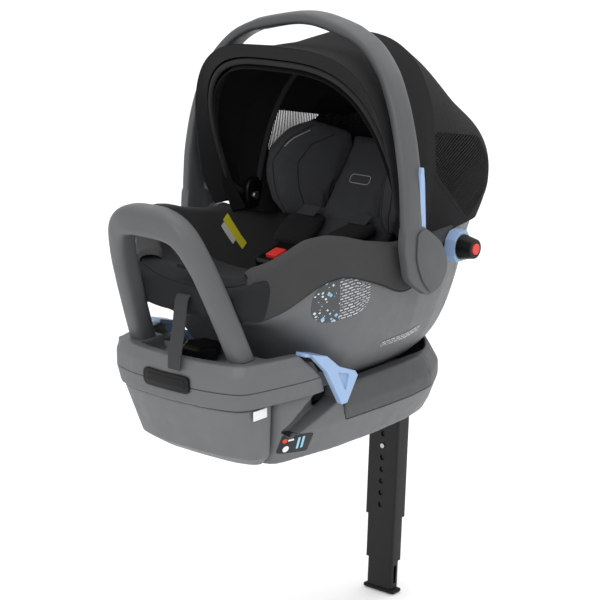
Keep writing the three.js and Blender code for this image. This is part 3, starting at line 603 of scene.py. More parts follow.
def printed(name, bars=False):
    """Generic printed panel: pale boxes and rows of short dashes on a dark film."""
    material, tree, shader = blank_material(name)
    place = coordinates(tree, True)
    axis = axes(tree, place)
    film = srgb("3a3c3f")
    dash = node(tree, "ShaderNodeTexBrick", offset=0.37, Scale=1.0, Mortar_Size=0.0013, Brick_Width=0.011,
                Row_Height=0.0042, Color1=(*srgb("c9cccf"), 1), Color2=(*srgb("8f9397"), 1),
                Mortar=(*film, 1))
    link(tree, place, dash.inputs["Vector"])
    colour = dash.outputs["Color"]
    if not bars:
        cells = node(tree, "ShaderNodeTexVoronoi", Scale=120, distance="MANHATTAN")
        link(tree, place, cells.inputs["Vector"])
        drawn = sums(tree, "LESS_THAN", cells.outputs["Distance"], 0.5)
        tint = mixed(tree, ramp(tree, noise(tree, place, 60, 2), 0.4, 0.6), srgb("d8dadb"), srgb("7fb3d0"))
        sketch = mixed(tree, drawn, film, tint)
        left = sums(tree, "LESS_THAN", axis[0], -0.006)
        colour = mixed(tree, left, colour, sketch)
        title = sums(tree, "MULTIPLY", sums(tree, "LESS_THAN", axis[1], -0.012),
                     sums(tree, "GREATER_THAN", axis[1], -0.0165))
        title = sums(tree, "MULTIPLY", title, sums(tree, "SUBTRACT", 1, left))
        colour = mixed(tree, title, colour, srgb("b04a45"))
    faded = ramp(tree, noise(tree, coordinates(tree), 300, 3), 0.3, 0.7, 0.85, 1.0)
    wear_and_highlight = mixed(tree, faded, film, colour)
    link(tree, wear_and_highlight, shader.inputs["Base Color"])
    shader.inputs["Roughness"].default_value = 0.35
    link(tree, bump_from(tree, noise(tree, place, 700, 2), 0.1, 0.0001), shader.inputs["Normal"])
    return material


def make_materials():
    return {
        "base_grey": plastic("base_plastic", "5d5f61"),
        "rim_grey": plastic("rim_plastic", "5a5c5e", seams=(126,)),
        "bar_grey": plastic("bar_plastic", "4f5153", 0.45),
        "side_grey": plastic("side_plastic", "454647", 0.55),
        "shell_grey": plastic("shell_plastic", "595b5d", 0.5),
        "handle_grey": plastic("handle_plastic", "494b4d", 0.42, depth=0.25),
        "hub_grey": plastic("hub_plastic", "494b4d", 0.5),
        "black": plastic("black_plastic", "0b0b0c", 0.34, depth=0.2, edge_highlight=0.12, shine=0.2),
        "black_soft": plastic("black_rubber", "151516", 0.75, depth=0.5, edge_highlight=0.1, shine=0.2),
        "blue": plastic("blue_plastic", "8fa9cc", 0.42, depth=0.2, edge_highlight=0.1),
        "rib": fabric("rib_sleeve", "2c2c2d", thread=0.0009, uv=False),
        "red": plastic("red_plastic", "c8352c", 0.38, depth=0.15, edge_highlight=0.1),
        "white": plastic("white_plastic", "dcdddd", 0.4, depth=0.15, edge_highlight=0.0),
        "steel": metal("zinc_steel", "b9bcc0"),
        "black_steel": metal("powder_coated_steel", "080808", 0.42, brushed=False, metallic=0.35),
        "seat": fabric("seat_weave", "3f3f40"),
        "front_knit": fabric("front_knit", "262728", thread=0.0014, uv=False),
        "seat_knit": fabric("seat_knit", "3c3d3f", thread=0.0014, uv=False),
        "canopy": fabric("canopy_weave", "1b1b1c", thread=0.0009, depth=0.5),
        "canopy_window": windowed(fabric("canopy_net_weave", "1b1b1c", thread=0.0009, depth=0.5), True),
        "hem": fabric("hem_weave", "252526", thread=0.0009, depth=0.5),
        "liner": fabric("canopy_liner", "121213", thread=0.0008, depth=0.4),
        "liner_window": windowed(fabric("canopy_side_liner", "121213", thread=0.0008, depth=0.4), False),
        "black_knit": fabric("black_knit", "1b1b1c", thread=0.0013, uv=False, depth=0.8),
        "piping": fabric("piping_cloth", "2a2b2c", thread=0.001, uv=False),
        "light_piping": fabric("light_piping_cloth", "9a9c9e", thread=0.001, uv=False),
        "webbing": webbing("harness_webbing", "2e2f31"),
        "tag": fabric("tag_cloth", "f0e43c", thread=0.0009, uv=False, melange=0.05),
        "tag_white": fabric("tag_white_cloth", "dddddc", thread=0.0009, uv=False, melange=0.05),
        "print": printed("label_print"),
        "print_bars": printed("label_bars", bars=True),
        "side_dark": plastic("side_film", "2a2b2d", 0.45, depth=0.1, edge_highlight=0.0, shine=0.2),
        "sky": plastic("sky_print", "8cc3dd", 0.4, depth=0.1, edge_highlight=0.0),
    }


MAT = make_materials()


# ---- refined CAD pieces --------------------------------------------------------------------
def refined(names, material, bevel):
    """A smooth copy of each CAD node, with its edges eased, that stands for it."""
    for name in names:
        bm = bmesh.new()
        bm.from_mesh(NODES[name].data)
        bmesh.ops.remove_doubles(bm, verts=bm.verts, dist=2e-6)
        bmesh.ops.dissolve_limit(bm, angle_limit=math.radians(0.6), verts=bm.verts, edges=bm.edges)
        bm.verts.ensure_lookup_table()
        faces = [[v.index for v in f.verts] for f in bm.faces]
        mesh = bpy.data.meshes.new(name + "_skin")
        mesh.from_pydata([v.co[:] for v in bm.verts], [], faces)
        bm.free()
        obj = new_object(name + "_skin", mesh)
        shade(obj)
        eased_edges(obj, bevel, 2, 28)
        modified(obj, "normals", "WEIGHTED_NORMAL", weight=60)
        finish_piece(obj, BODY_OF[name], MAT[material], [name])


def moulded(name, material, voxel=1.9, passes=7):
    """A copy of a CAD node with every edge softened as in an injection moulding, that stands for it."""
    mesh = NODES[name].data.copy()
    obj = new_object(name + "_skin", mesh)
    even_mesh(obj, voxel)
    relaxed(obj, passes)
    baked(obj)
    shade(obj)
    finish_piece(obj, BODY_OF[name], MAT[material], [name])


PIVOT_OUTLINE = [[6, 308], [14, 297], [33, 297], [43, 312], [43, 332], [34, 346], [16, 346], [6, 334]]


def refine_plain_pieces():
    moulded("base_lower_shell", "base_grey")
    moulded("base_rear_cover", "side_grey")
    moulded("base_front_rim", "rim_grey", 1.8, 9)
    moulded("recline_foot", "base_grey", 1.9, 9)
    refined(["recline_indicator_left", "recline_indicator_right"], "white", 0.5)
    refined(["base_latch_frame", "leg_bracket"], "black_steel", 0.8)
    refined(["leg_outer_tube", "leg_middle_tube", "leg_inner_tube"], "black_steel", 0.5)
    refined(["leg_foot_cap"], "black_soft", 1.0)
    refined(["recline_knob"], "black", 0.8)
    for side, sign in SIDES:
        outline = round_outline(PIVOT_OUTLINE, 9)
        housing = plate("pivot_housing_" + side, outline, sign * 144.5, sign * 156)
        eased_edges(housing, 3)
        baked(housing)
        shade(housing, 45)
        finish_piece(housing, "carrier", MAT["black"], ["canopy_pivot_" + side])
    refined(["recline_screw", "leg_pivot_pin", "leg_height_button", "seat_lock_bar_front",
             "seat_lock_bar_rear", "handle_pin_left", "handle_pin_right", "canopy_rivet_left",
             "canopy_rivet_right"], "steel", 0.4)
    refined(["pod_mount_left", "pod_mount_right", "base_release_lever"], "blue", 1.0)
    for side in ("left", "right"):
        moulded("lockoff_" + side, "blue", 1.0, 6)
    refined(["handle_button_left", "handle_button_right"], "blue", 0.8)
    refined(["pod_knob_left", "pod_knob_right", "buckle_housing"], "black", 1.2)
    refined(["pod_cap_left", "pod_cap_right", "buckle_button"], "red", 0.8)
    refined(["hub_housing_left", "hub_housing_right"], "handle_grey", 1.0)
    refined(["adjuster_button"], "black_soft", 1.2)


# ---- carrier shell -------------------------------------------------------------------------
# [y, half width, underside z, rim z, squareness of the section], as the CAD hull
SHELL_STATIONS = np.array([
    [-290, 46, 234, 268, 0.35], [-282, 78, 224, 275, 0.35], [-268, 100, 214, 282, 0.35],
    [-250, 124, 206, 292, 0.4], [-236, 142, 202, 306, 0.45], [-212, 156, 186, 322, 0.55],
    [-180, 170, 140, 326, 0.7], [-150, 179, 92, 320, 0.8], [-110, 185, 68, 308, 0.85],
    [-50, 188, 62, 296, 0.88], [20, 187, 61, 292, 0.88], [90, 177, 62, 300, 0.88],
    [150, 158, 66, 322, 0.88], [182, 145, 94, 338, 0.88], [204, 135, 133, 344, 0.88],
    [222, 131, 182, 348, 0.88], [242, 126, 236, 350, 0.85], [264, 114, 276, 350, 0.8],
    [281, 96, 306, 346, 0.7], [292, 66, 324, 342, 0.6]])
# [y, z] of the cover's hem along the shell's side
COVER_EDGE = np.array([[-400, 200], [-262, 210], [-250, 224], [-204, 261], [-178, 274], [-149, 274],
                       [-83, 250], [-37, 228], [0, 232], [36, 262], [80, 292], [140, 306], [200, 330],
                       [260, 352], [400, 372]])
FRONT_Y, BACK_Y = -290.0, 292.0
FINE_Y = np.linspace(FRONT_Y, BACK_Y, 292)


def along_y(table, passes):
    """A table's columns read at every FINE_Y, and eased."""
    columns = [np.interp(FINE_Y, table[:, 0], table[:, k]) for k in range(table.shape[1])]
    return eased(np.stack(columns, 1), passes)


FINE = along_y(SHELL_STATIONS, 14)
EDGE_FINE = along_y(COVER_EDGE, 60)


def station(y):
    return [np.interp(y, FINE_Y, FINE[:, k]) for k in range(1, 5)]


def hull_point(y, s, grow=0.0):
    """Point of the hull at y, with s from -1 at the right rim to 1 at the left one."""
    half, low, rim, square = station(y)
    angle = s * math.pi / 2
    across = math.copysign(abs(math.sin(angle)) ** square, s)
    down = max(math.cos(angle), 1e-6) ** square
    stretch = 1 + 2 * grow / (BACK_Y - FRONT_Y)
    return [across * (half + grow), 1 + (y - 1) * stretch, rim - down * (rim - low + grow)]


def section_at(y, z, grow):
    """The s at which the hull's side is at height z."""
    _, low, rim, square = station(y)
    share = min(max((rim - z) / (rim - low + grow), 0), 1) ** (1 / square)
    return math.acos(share) * 2 / math.pi


def end_rows(row_at, y, direction, radius=9.0, steps=4):
    """Rows that round a lofted end off: each is the end row drawn in, further along y."""
    rows = []
    for k in range(1, steps + 1):
        a = k / steps * math.pi / 2
        ring = np.array(row_at(y), float)
        middle = ring.mean(0)
        size = np.abs(ring - middle).max(0)
        keep = 1 - radius * (1 - math.cos(a)) / np.maximum(size, radius)
        keep[1] = 1
        ring = middle + (ring - middle) * keep
        ring[:, 1] += direction * radius * math.sin(a)
        rows.append(ring.tolist())
    return rows


SHELL_WALL = 4.0
FRONT_DROP = 17.0  # how far the shell's rim stays below the front pad


def make_shell():
    across = np.sin(np.linspace(-1, 1, 61) * math.pi / 2 * 0.98) / math.sin(math.pi / 2 * 0.98)

    def row(y):
        drop = FRONT_DROP * min(max((-236 - y) / 24, 0), 1)
        ring = [hull_point(y, s) for s in across]
        return [[x, yy, z - drop * max(abs(s) - 0.7, 0) / 0.3] for (x, yy, z), s in zip(ring, across)]

    ys = np.linspace(FRONT_Y + 8, BACK_Y - 8, 150)
    rows = end_rows(row, ys[0], -1, 8)[::-1] + [row(y) for y in ys] + end_rows(row, ys[-1], 1, 8)
    shell = new_object("carrier_shell", grid_mesh("carrier_shell", rows))
    thickened(shell, SHELL_WALL, -1)
    shade(shell)
    finish_piece(shell, "carrier", MAT["shell_grey"], ["seat_shell"])


def cover_path(y):
    """Cover's profile at y: outside from its hem up, over the padded rim, down inside and up again."""
    half, low, rim, _ = station(y)
    edge = max(np.interp(y, EDGE_FINE[:, 0], EDGE_FINE[:, 1]), low + 2)
    start = section_at(y, edge, 4.5)
    side = [hull_point(y, start, 0.6)]
    side.append(hull_point(y, min(start + 0.004, 1), 3.4))
    for t in np.linspace(0.02, 1, 12):
        side.append(hull_point(y, start + (1 - start) * t, 5.2))
    inner = 20.0
    outer_x = side[-1][0]
    inner_x = half - inner
    y_out = side[-1][1]
    y_in = hull_point(y, 1, -inner)[1]
    for t in np.linspace(0.08, 0.92, 9):
        a = t * math.pi
        side.append([(outer_x + inner_x) / 2 + (outer_x - inner_x) / 2 * math.cos(a),
                     y_out + (y_in - y_out) * t, rim + 8.5 * math.sin(a) ** 0.8])
    for s in np.linspace(1, 0, 22):
        side.append(hull_point(y, s, -inner))
    mirrored = [[-x, yy, z] for x, yy, z in side[:-1]]
    return mirrored + side[::-1]


def make_seat_cover():
    ys = np.linspace(FRONT_Y + 27, BACK_Y - 6, 150)
    rows = [cover_path(y) for y in ys]
    rows = end_rows(cover_path, ys[0], -1, 9)[::-1] + rows + end_rows(cover_path, ys[-1], 1, 8)
    mesh = grid_mesh("seat_cover_cloth", rows)
    cover = new_object("seat_cover_cloth", mesh)
    shade(cover)
    finish_piece(cover, "carrier", MAT["seat"], ["seat_cover"])
    hem = [hull_point(y, section_at(y, np.interp(y, EDGE_FINE[:, 0], EDGE_FINE[:, 1]), 4.5), 4.2)
           for y in np.linspace(-258, 262, 160)]
    cords = [tube("cord_a", hem, 1.3, 6), tube("cord_b", [[-x, y, z] for x, y, z in hem], 1.3, 6)]
    piping = joined("seat_cover_piping", cords)
    shade(piping)
    finish_piece(piping, "carrier", MAT["piping"])


def front_pad_blank():
    """Thick pad across the front of the seat: its front face, rounded lip and nearly level top."""
    top = np.array([[-302, 236], [-299, 252], [-292, 264], [-278, 270], [-258, 266], [-225, 257], [-170, 248],
                    [-118, 240]])
    plan = np.array([[-302, 64], [-298, 88], [-290, 106], [-280, 117], [-266, 124], [-250, 127], [-236, 130],
                     [-212, 132], [-112, 150]])
    foot = np.array([[-302, 236], [-296, 228], [-284, 220], [-262, 216], [-112, 212]])
    rows = []
    for y in np.linspace(-302, -112, 64):
        wide = np.interp(y, plan[:, 0], plan[:, 1])
        crown = np.interp(y, top[:, 0], top[:, 1])
        bottom = np.interp(y, foot[:, 0], foot[:, 1])
        corner_lift = 27 * min((y + 302) / 50, 1)
        across = np.linspace(-1, 1, 25)
        ring = [[x * wide, y, crown + corner_lift * abs(x) ** 3] for x in across]
        ring += [[x * wide * 0.97, y, bottom + 10 * abs(x) ** 3] for x in across[::-1]]
        rows.append(ring)
    return solid("front_pad", rows)


# ---- canopy --------------------------------------------------------------------------------
OPENING = (177, (2, 314), (-97, 556), 0.6)
MID_ARCH = (180, (34, 306), (102, 577), 0.8)
FRONT_ARCHES = [OPENING, (187, (-42, 306), (-94, 573), 0.55), (186, (-14, 306), (-34, 565), 0.62),
                (184, (10, 306), (34, 566), 0.7), MID_ARCH]
REAR_ARCHES = [MID_ARCH, (180, (80, 296), (162, 547), 0.93), (178, (128, 300), (226, 491), 0.96),
               (165, (178, 302), (290, 443), 0.92), (142, (216, 304), (326, 398), 0.98),
               (122, (243, 304), (328, 362), 0.9), (103, (254, 316), (308, 340), 0.9)]


def arch_at(arch, u, inset=0.0):
    """Point of an arch, u from -1 at the right rim to 1 at the left one, drawn in by inset."""
    half, rim, top, power = arch
    angle = u * math.pi / 2
    across = math.copysign(abs(math.sin(angle)) ** power, u)
    up = max(math.cos(angle), 1e-6) ** power
    point = np.array([across * half, rim[0] + (top[0] - rim[0]) * up, rim[1] + (top[1] - rim[1]) * up])
    low = min(max(0, 352 - point[2]) / 46, 1)
    point[1] += low ** 2 * max(0, -rim[0] * 0.42 + 2)
    if inset:
        inward = np.array([-point[0], rim[0] - point[1], rim[1] - 10 - point[2]])
        point = point + inward / np.linalg.norm(inward) * inset
    return point


def arch_rows(arches, per_gap, inset=0.0, columns=73, passes=3):
    """Cloth through arches: rows between each two, eased over the bows but not over the ends."""
    us = np.linspace(-1, 1, columns)
    corner = np.array([[arch_at(a, u, inset) for u in us] for a in arches])
    at = np.linspace(0, len(arches) - 1, per_gap * (len(arches) - 1) + 1)
    low = np.minimum(at.astype(int), len(arches) - 2)
    share = (at - low)[:, None, None]
    return eased(corner[low] * (1 - share) + corner[low + 1] * share, passes)


def cloth_sheet(name, rows, thick, material, slot, bodies, start, end, stands_for=(), rests=()):
    mesh = grid_mesh(name, rows)
    cloth = new_object(name, mesh)
    thickened(cloth, thick, 0)
    baked(cloth)
    shade(cloth, 50)
    cloth.data.materials.clear()
    cloth.data.materials.append(MAT[material])
    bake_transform(cloth)
    if stands_for:
        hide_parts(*stands_for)
    return cloth


FRONT_BLEND = (("canopy_front", "canopy_middle"), (0, -0.04, 0.45), (0, 0.09, 0.47))
REAR_BLEND = (("canopy_middle", "carrier"), (0, 0.09, 0.52), (0, 0.26, 0.33))


def make_canopy():
    hem = arch_rows(FRONT_ARCHES[:2], 8, passes=0)
    panel = arch_rows(FRONT_ARCHES[1:], 8, passes=4)
    rear = arch_rows(REAR_ARCHES, 9, passes=6)
    sagged(rear, 5.0)
    sagged(panel, 2.5)
    cloth_sheet("canopy_hem", hem, 3.0, "hem", "canopy_fabric", *FRONT_BLEND, ["canopy_front_cloth"],
                ["canopy_front_bow"])
    cloth_sheet("canopy_front_panel", panel, 1.6, "canopy", "canopy_fabric", *FRONT_BLEND,
                rests=["canopy_middle_bow"])
    cloth_sheet("canopy_rear_panel", rear, 1.6, "canopy_window", "canopy_fabric", *REAR_BLEND,
                ["canopy_rear_cloth"], ["canopy_middle_bow"])
    inner_front = lined(arch_rows([OPENING, *FRONT_ARCHES[2:]], 9, 4.0, passes=3), 14, 25)
    inner_rear = lined(arch_rows(REAR_ARCHES, 8, 4.0, passes=5), 25, 3)
    cloth_sheet("canopy_front_lining", inner_front, 1.0, "liner", "canopy_fabric", *FRONT_BLEND,
                rests=["canopy_front_bow"])
    cloth_sheet("canopy_rear_lining", inner_rear, 1.0, "liner_window", "canopy_fabric", *REAR_BLEND,
                rests=["canopy_middle_bow"])


def make_bows():
    """The canopy's two bows, each in its cloth sleeve and ending at the pivot."""
    for name, arch, inset, radius, body, foot in (
        ("front_bow_sleeve", OPENING, 7, 4.2, "canopy_front", 166), ("middle_bow_sleeve", MID_ARCH, 27, 4.6,
                                                                     "canopy_middle", 158)):
        path = [arch_at(arch, u, inset) for u in np.linspace(-0.985, 0.985, 80)]
        path = [[-foot, 24, 317]] + [p for p in path if p[2] > 324] + [[foot, 24, 317]]
        sleeve = tube(name, resampled(path, 130, 5), radius, 12)
        shade(sleeve)
        finish_piece(sleeve, body, MAT["rib"], [NODE_OF_BOW[name]])


NODE_OF_BOW = {"front_bow_sleeve": "canopy_front_bow", "middle_bow_sleeve": "canopy_middle_bow"}


def lined(rows, start, end):
    """Draws the lining in under the bows at its two ends, and tucks its foot inside the cover."""
    count = rows.shape[0]
    for r in range(count):
        share = r / (count - 1)
        lift = start * max(0, 1 - share * 4) ** 0.6 + end * max(0, 1 - (1 - share) * 4)
        for c in range(rows.shape[1]):
            point = rows[r, c]
            inward = np.array([-point[0], 0, 300 - point[2]])
            point += inward / max(np.linalg.norm(inward), 1) * lift
            tuck = max(0, 345 - point[2])
            point[2] -= tuck * 0.35
            point[0] -= math.copysign(min(tuck, 40) * 0.4, point[0])
    return rows


def sagged(rows, depth):
    """Lets the cloth dip a little between its bows and pull in shallow folds towards the pivots."""
    count = rows.shape[0]
    for r in range(count):
        share = r / (count - 1)
        for c in range(rows.shape[1]):
            u = abs(c / (rows.shape[1] - 1) * 2 - 1)
            fold = math.sin(share * 19 + 2.2 * u) * math.sin(math.pi * share) * (0.25 + u)
            inward = np.array([-rows[r, c, 0], 0, 330 - rows[r, c, 2]])
            rows[r, c] += inward / max(np.linalg.norm(inward), 1) * depth * 0.22 * fold
    return rows


# ---- handle and anti-rebound bar -----------------------------------------------------------
HANDLE_HALF = [[219, -46, 300], [218, -45, 345], [215, -44, 395], [205, -42, 448], [191, -39, 495],
               [167, -33, 545], [133, -27, 581], [98, -22, 599], [64, -18, 608], [30, -15, 615],
                [0, -14, 617]]
HUB_OUTLINE = [[-65, 336], [-68, 303], [-57, 254], [-37, 240], [-8, 222], [18, 232], [30, 252], [31, 270],
               [22, 291], [-24, 330]]
HANDLE_THICK = 16.0
HANDLE_WIDE = 21.0


def band_rows(path, half_thick, half_wide, power, sides=28):
    """Rings of a band whose width lies along Y, round a path in the X, Z plane."""
    tangent = np.gradient(path, axis=0)
    rows = []
    for i, centre in enumerate(path):
        across = np.array([tangent[i][2], 0, -tangent[i][0]])
        across /= np.linalg.norm(across)
        thick = half_thick[i] if hasattr(half_thick, "__len__") else half_thick
        wide = half_wide[i] if hasattr(half_wide, "__len__") else half_wide
        rows.append([centre + across * u + np.array([0, v, 0])
                     for u, v in superellipse(thick, wide, sides, power)])
    return rows


def plate(name, outline, low, high):
    """Outline in (Y, Z) extruded along X, in mm."""
    bm = bmesh.new()
    ends = [[bm.verts.new((x * MM, y * MM, z * MM)) for y, z in outline] for x in (low, high)]
    bm.faces.new(ends[0][::-1])
    bm.faces.new(ends[1])
    count = len(outline)
    for i in range(count):
        j = (i + 1) % count
        bm.faces.new((ends[0][i], ends[0][j], ends[1][j], ends[1][i]))
    bmesh.ops.recalc_face_normals(bm, faces=bm.faces)
    return new_object(name, bm)


def round_outline(points, radius, steps=4):
    points = [np.array(p, float) for p in points]
    out = []
    for i, here in enumerate(points):
        before, after = points[i - 1], points[(i + 1) % len(points)]
        a = here + (before - here) * min(radius / np.linalg.norm(before - here), 0.45)
        b = here + (after - here) * min(radius / np.linalg.norm(after - here), 0.45)
        for k in range(steps + 1):
            t = k / steps
            out.append(tuple((1 - t) ** 2 * a + 2 * t * (1 - t) * here + t * t * b))
    return out


def make_handle():
    inset = HANDLE_THICK / 2
    half = []
    for x, y, z in HANDLE_HALF:
        drop = inset * min((219 - x) / 150, 1)
        half.append([max(x - inset + drop * 0.5, 0), y, z - drop])
    half[-1][0] = 0
    path = resampled(mirrored_whole(half), 140, 10)
    grip = 1.5 * np.clip((95 - np.abs(path[:, 0])) / 12, 0, 1) * (path[:, 2] > 560)
    band = new_object("handle_band", grid_mesh("handle_band", band_rows(path, inset + grip, HANDLE_WIDE,
                      0.55),
                                               closed=True, caps=(True, True)))
    shade(band)
    pieces = [band]
    for side in (1, -1):
        hub = plate("hub_side", round_outline(HUB_OUTLINE, 10), side * 203.2, side * 218.8)
        eased_edges(hub, 2.4)
        pieces.append(hub)
    handle = joined("handle_grip_bar", pieces)
    shade(handle, 40)
    finish_piece(handle, "handle", MAT["handle_grey"], ["handle_bar"])


# [half spread, height, half thickness] from the foot to the middle of the hoop
BAR_HALF = [[95, 154, 14], [95, 166, 14], [90, 210, 14], [84, 256, 14], [77, 298, 14], [67, 330, 16],
            [58, 348, 18], [45, 358, 20], [28, 363, 22], [0, 364, 22]]


def make_bar():
    fine = resampled(mirrored_whole(BAR_HALF), 110, 6)
    path = np.stack([fine[:, 0], -281 - 0.404 * (fine[:, 1] - 166), fine[:, 1]], 1)
    rows = band_rows(path, fine[:, 2], 18.5, 0.62, 32)
    bar = solid("rebound_bar", rows)
    cut = box_object("cut", (-300, 300), (-500, 0), (0, 165.4))
    trim(bar, cut)
    shade(bar, 60)
    finish_piece(bar, "base", MAT["bar_grey"], ["anti_rebound_bar"])


def box_object(name, x, y, z):
    bm = bmesh.new()
    bmesh.ops.create_cube(bm, size=1)
    spans = (x, y, z)
    for v in bm.verts:
        v.co = Vector([((a + b) / 2 + c * (b - a)) * MM for c, (a, b) in zip(v.co, spans)])
    return new_object(name, bm)


def trim(obj, cutter):
    modified(obj, "cut", "BOOLEAN", operation="DIFFERENCE", solver="EXACT", object=cutter)
    baked(obj)
    bpy.data.objects.remove(cutter)


# ---- cushions ------------------------------------------------------------------------------
CUSHIONS = []
CLOTH_FRAMES = 20


def cushion_blank(name, points, voxel=5.0, ease=6, pressure=4.0, cap=6.0):
    """Closed form round points in mm, remeshed and eased, waiting to be inflated."""
    bm = bmesh.new()
    for p in points:
        bm.verts.new(Vector(p) * MM)
    result = bmesh.ops.convex_hull(bm, input=bm.verts)
    bmesh.ops.delete(bm, geom=[v for v in result["geom_interior"] if isinstance(v, bmesh.types.BMVert)],
                     context="VERTS")
    return soft_blank(new_object(name, bm), voxel, ease, pressure, cap)


def soft_blank(obj, voxel=5.0, ease=6, pressure=4.0, cap=6.0):
    even_mesh(obj, voxel)
    baked(obj)
    relaxed(obj, ease)
    baked(obj)
    CUSHIONS.append((obj, pressure, cap * MM))
    return obj


def inflate_cushions():
    """One cloth run for every cushion, each vertex held to its cap."""
    scene = bpy.context.scene
    before = {}
    for obj, pressure, _ in CUSHIONS:
        before[obj.name] = np.array([v.co for v in obj.data.vertices])
        cloth = modified(obj, "cloth", "CLOTH")
        for key, value in (("use_pressure", True), ("uniform_pressure_force", pressure), ("mass", 0.3),
                           ("tension_stiffness", 18), ("compression_stiffness", 18),
                           ("bending_stiffness", 0.6)):
            setattr(cloth.settings, key, value)
        cloth.settings.effector_weights.gravity = 0
        cloth.point_cache.frame_start = 1
        cloth.point_cache.frame_end = CLOTH_FRAMES
    for step in range(1, CLOTH_FRAMES + 1):
        scene.frame_set(step)
    depsgraph = bpy.context.evaluated_depsgraph_get()
    after = {}
    for obj, _, _ in CUSHIONS:
        shape = obj.evaluated_get(depsgraph).to_mesh()
        after[obj.name] = np.array([v.co for v in shape.vertices])
        obj.evaluated_get(depsgraph).to_mesh_clear()
    for obj, _, cap in CUSHIONS:
        obj.modifiers.clear()
        move = after[obj.name] - before[obj.name]
        size = np.linalg.norm(move, axis=1)[:, None]
        move *= np.minimum(1, cap / np.maximum(size, 1e-9))
        obj.data.vertices.foreach_set("co", (before[obj.name] + move).ravel())
        obj.data.update()
    scene.frame_set(1)


def sewn(obj, line, width=5.0, depth=2.5):
    """Draws the surface in along a line of points in mm, as a sewn channel does."""
    line = resampled(line, 80) * MM
    for v in obj.data.vertices:
        near = np.linalg.norm(line - np.array(v.co), axis=1).min()
        if near < width * MM:
            v.co -= v.normal * depth * MM * (1 - near / (width * MM)) ** 1.5


def refine_cushion(obj):
    modified(obj, "finer", "SUBSURF", levels=1, render_levels=1)
    baked(obj)
    shade(obj)


def surface_tree(mesh):
    return BVHTree.FromPolygons([v.co[:] for v in mesh.vertices], [p.vertices[:] for p in mesh.polygons])


def on_surface(obj, line, lift, count=60):
    """Points of a line in mm, moved to the nearest point of obj and lifted off it."""
    tree = surface_tree(obj.data)
    out = []
    for p in resampled(line, count):
        place, normal, _, _ = tree.find_nearest(Vector(p) * MM)
        out.append(list((place + normal * lift * MM) / MM))
    return eased(out, 2)


WING = [[52, 84, 286], [104, 44, 286], [126, 92, 286], [122, 34, 312], [134, 30, 352], [132, 38, 392],
        [114, 62, 420], [88, 100, 434], [50, 146, 414], [100, 34, 316], [108, 34, 374], [96, 58, 404],
        [40, 118, 340], [42, 144, 386], [136, 80, 396], [130, 120, 420], [108, 150, 404], [60, 158, 404]]


OUTER_SEAM = ((98, 42, 288), (112, 32, 330), (118, 32, 372), (104, 54, 408), (80, 92, 430))
INNER_SEAM = ((74, 66, 290), (88, 60, 334), (92, 62, 370), (78, 82, 398), (58, 116, 412))
WING_BEAD = ((106, 48, 396), (96, 62, 410), (80, 84, 422))


